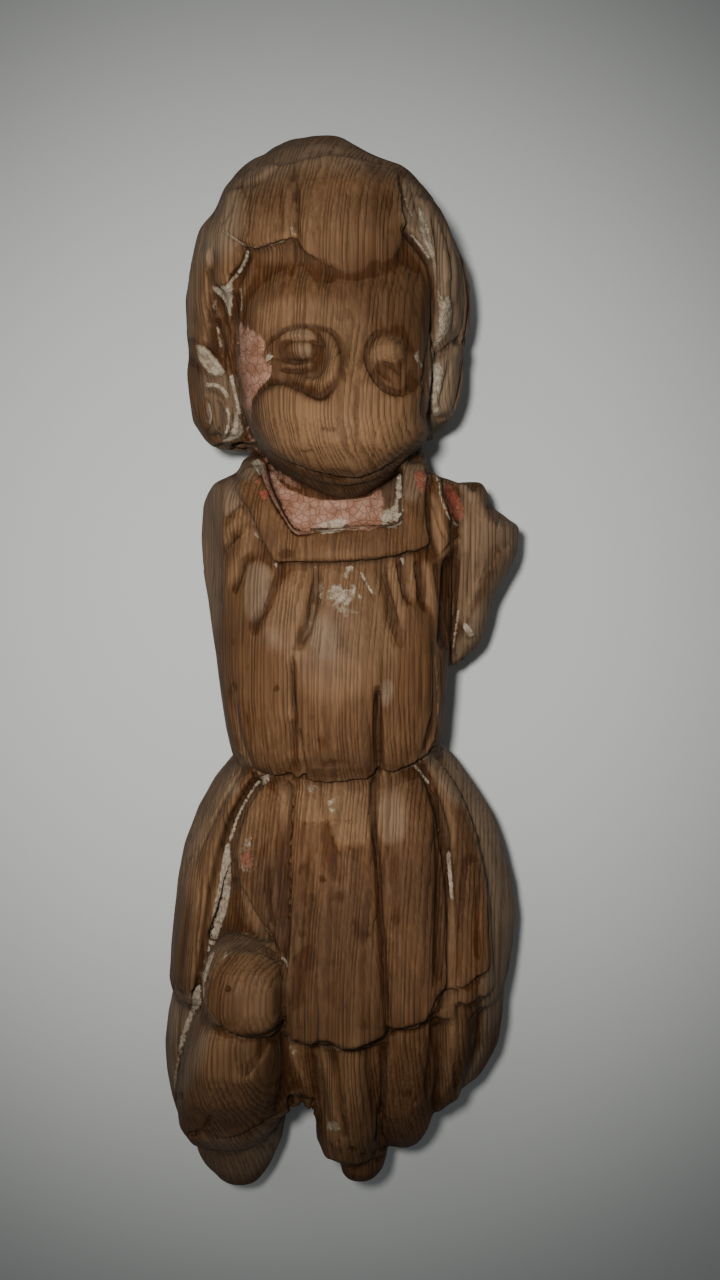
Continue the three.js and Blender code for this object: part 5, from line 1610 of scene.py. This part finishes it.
@dataclass
class CarvedFigure:
    """The whole figure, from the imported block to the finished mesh. Lengths are millimetres."""

    lens: Lens
    blank_voxel: float = 0.8
    carving_voxel: float = 0.58
    blank_softening: int = 12
    triangles: int = 192000
    parts: tuple = field(default_factory=lambda: (Rear(), Head(), Dress(), Skirt(), Legs(), Sleeve()))

    def build(self, block: bpy.types.Object) -> bpy.types.Object:
        """Carves and finishes the figure.

        Args:
            block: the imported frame's solid.

        Returns:
            The finished object.
        """
        mesh = self.closed_copy(block)
        mesh = self.modified(mesh, [
            ("REMESH", {"mode": "VOXEL", "voxel_size": self.blank_voxel * MM}),
            ("SMOOTH", {"factor": 0.5, "iterations": self.blank_softening}),
        ])
        surface = Surface(mesh, self.lens)
        for part in self.parts:
            surface.carve(part.first_cuts().values())
        mesh = self.modified(surface.mesh, [
            ("REMESH", {"mode": "VOXEL", "voxel_size": self.carving_voxel * MM}),
            ("SMOOTH", {"factor": 0.5, "iterations": 3}),
        ])
        surface = Surface(mesh, self.lens)
        for part in self.parts:
            surface.carve(part.fine_cuts().values())
        self.wear(surface)
        faces = sum(len(polygon.vertices) - 2 for polygon in surface.mesh.polygons)
        mesh = self.modified(surface.mesh, [("DECIMATE", {"ratio": min(1.0, self.triangles / faces)})])
        mesh.shade_smooth()
        self.stain(Surface(mesh, self.lens))
        figure = bpy.data.objects.new("carved_cherub", mesh)
        bpy.context.scene.collection.objects.link(figure)
        mesh.materials.clear()
        mesh.materials.append(FigureMaterial().build())
        LOG.info("carved figure: %d triangles", len(mesh.polygons))
        return figure

    def closed_copy(self, block: bpy.types.Object) -> bpy.types.Mesh:
        """Copies the block's loose triangles into one closed skin."""
        shape = bmesh.new()
        shape.from_mesh(block.data)
        bmesh.ops.remove_doubles(shape, verts=shape.verts, dist=0.01 * MM)
        mesh = bpy.data.meshes.new("figure_block")
        shape.to_mesh(mesh)
        shape.free()
        return mesh

    def modified(self, mesh: bpy.types.Mesh, modifiers: list[tuple[str, dict]]) -> bpy.types.Mesh:
        """Runs a mesh through modifiers.

        Args:
            mesh: the mesh to change.
            modifiers: each modifier's type with its settings.

        Returns:
            A new mesh with the modifiers applied.
        """
        bench = bpy.data.objects.new("bench", mesh)
        bpy.context.scene.collection.objects.link(bench)
        for kind, settings in modifiers:
            modifier = bench.modifiers.new(kind.lower(), kind)
            for name, value in settings.items():
                setattr(modifier, name, value)
        graph = bpy.context.evaluated_depsgraph_get()
        result = bpy.data.meshes.new_from_object(bench.evaluated_get(graph), depsgraph=graph)
        bpy.data.objects.remove(bench)
        bpy.data.meshes.remove(mesh)
        return result

    def wear(self, surface: Surface) -> None:
        """Adds chisel facets, weathered fibre and rubbed edges all over."""
        points = surface.points
        facets = noise(points, (7.0, 15.0, 7.0), 3) * 0.22
        fibre = noise(points, (3.6, 40.0, 3.6), 7) * 0.12
        pits = -np.clip(noise(points, (2.2, 3.4, 2.2), 9) - 0.55, 0.0, None) * 0.5
        above = eased(points[:, 2], 0.4, 2.0)
        amount = (facets + fibre + pits) * above
        surface.push(np.arange(len(points)), amount)
        edge = np.clip(-surface.hollowness(4), 0.0, 0.6)
        chips = np.clip(noise(points, (3.0, 6.0, 3.0), 11), 0.0, 1.0)
        surface.push(np.arange(len(points)), -edge * chips * 1.4 * above)
        surface.refresh()

    def stain(self, surface: Surface) -> None:
        """Writes what the material reads: hollows, darkened as dust and painted shade, and each coat, the
        dark one painted shade.
        """
        layers = {"hollow": surface.settled(surface.hollowness(14), 1)}
        colours = [colour for part in self.parts for colour in part.colours().values()]
        for coat in Coat:
            layers[coat.value] = surface.coat(colours, coat)
        behind = 1 - surface.layout(View.FRONT)[2]
        layers[Coat.GREY.value] = np.maximum(layers[Coat.GREY.value], 0.5 * behind)
        for name, values in layers.items():
            attribute = surface.mesh.attributes.new(name, "FLOAT", "POINT")
            attribute.data.foreach_set("value", values.astype(np.float32))


@dataclass
class Studio:
    """The plain floor, the lights and the camera. Lengths are metres."""

    lens: Lens
    floor_size: float = 3.0
    floor_tone: tuple[float, float, float] = (0.62, 0.64, 0.62)
    daylight: tuple[float, float, float] = (1.0, 0.99, 0.96)
    sensor: float = 36.0

    def build(self) -> None:
        """Sets the stage."""
        self.lay_floor()
        flash = self.hang_light("SPOT", "flash", (-0.022, 0.035, 0.385), 5.8, (-0.016, 0.028, 0.0))
        flash.shadow_soft_size = 0.012
        flash.spot_size = math.radians(77.0)
        flash.spot_blend = 1.0
        self.hang_light("AREA", "soft_box", (-0.55, 0.55, 0.95), 1.2, (0.0, 0.0, 0.03)).size = 0.7
        world = bpy.data.worlds.new("studio")
        world.use_nodes = True
        world.node_tree.nodes["Background"].inputs["Color"].default_value = (0.92, 0.95, 1.0, 1.0)
        world.node_tree.nodes["Background"].inputs["Strength"].default_value = 0.12
        bpy.context.scene.world = world
        self.set_camera()

    def lay_floor(self) -> None:
        """Lays a pale plain floor."""
        shape = bmesh.new()
        bmesh.ops.create_grid(shape, x_segments=1, y_segments=1, size=self.floor_size / 2)
        mesh = bpy.data.meshes.new("floor")
        shape.to_mesh(mesh)
        shape.free()
        floor = bpy.data.objects.new("floor", mesh)
        bpy.context.scene.collection.objects.link(floor)
        material = bpy.data.materials.new("pale_floor")
        material.use_nodes = True
        shader = material.node_tree.nodes["Principled BSDF"]
        shader.inputs["Base Color"].default_value = (*self.floor_tone, 1.0)
        shader.inputs["Roughness"].default_value = 0.9
        mesh.materials.append(material)

    def hang_light(self, kind: str, name: str, place: tuple[float, float, float], power: float,
                   target: tuple[float, float, float]) -> bpy.types.Light:
        """Hangs a light that points at a target."""
        lamp = bpy.data.lights.new(name, kind)
        lamp.energy = power
        lamp.color = self.daylight
        holder = bpy.data.objects.new(name, lamp)
        holder.location = place
        aim = Vector(target)
        holder.rotation_euler = (Vector(place) - aim).to_track_quat("Z", "Y").to_euler()
        bpy.context.scene.collection.objects.link(holder)
        return lamp

    def set_camera(self) -> None:
        """Puts the camera where the photograph was taken from."""
        camera = bpy.data.cameras.new("camera")
        camera.sensor_width = self.sensor
        camera.lens = self.lens.focal_pixels / self.lens.height * self.sensor
        camera.clip_start = 0.01
        holder = bpy.data.objects.new("camera", camera)
        holder.location = (self.lens.axis_x * MM, self.lens.axis_y * MM, self.lens.above_floor * MM)
        bpy.context.scene.collection.objects.link(holder)
        bpy.context.scene.camera = holder


def main() -> None:
    """Builds the figure and the studio."""
    logging.basicConfig(level=logging.INFO, format="%(name)s: %(message)s")
    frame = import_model()
    lens = Lens()
    figure = CarvedFigure(lens).build(frame["nodes"]["carved_figure"])
    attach(figure, "root")
    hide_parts("carved_figure")
    Studio(lens).build()


if __name__ == "__main__":
    main()
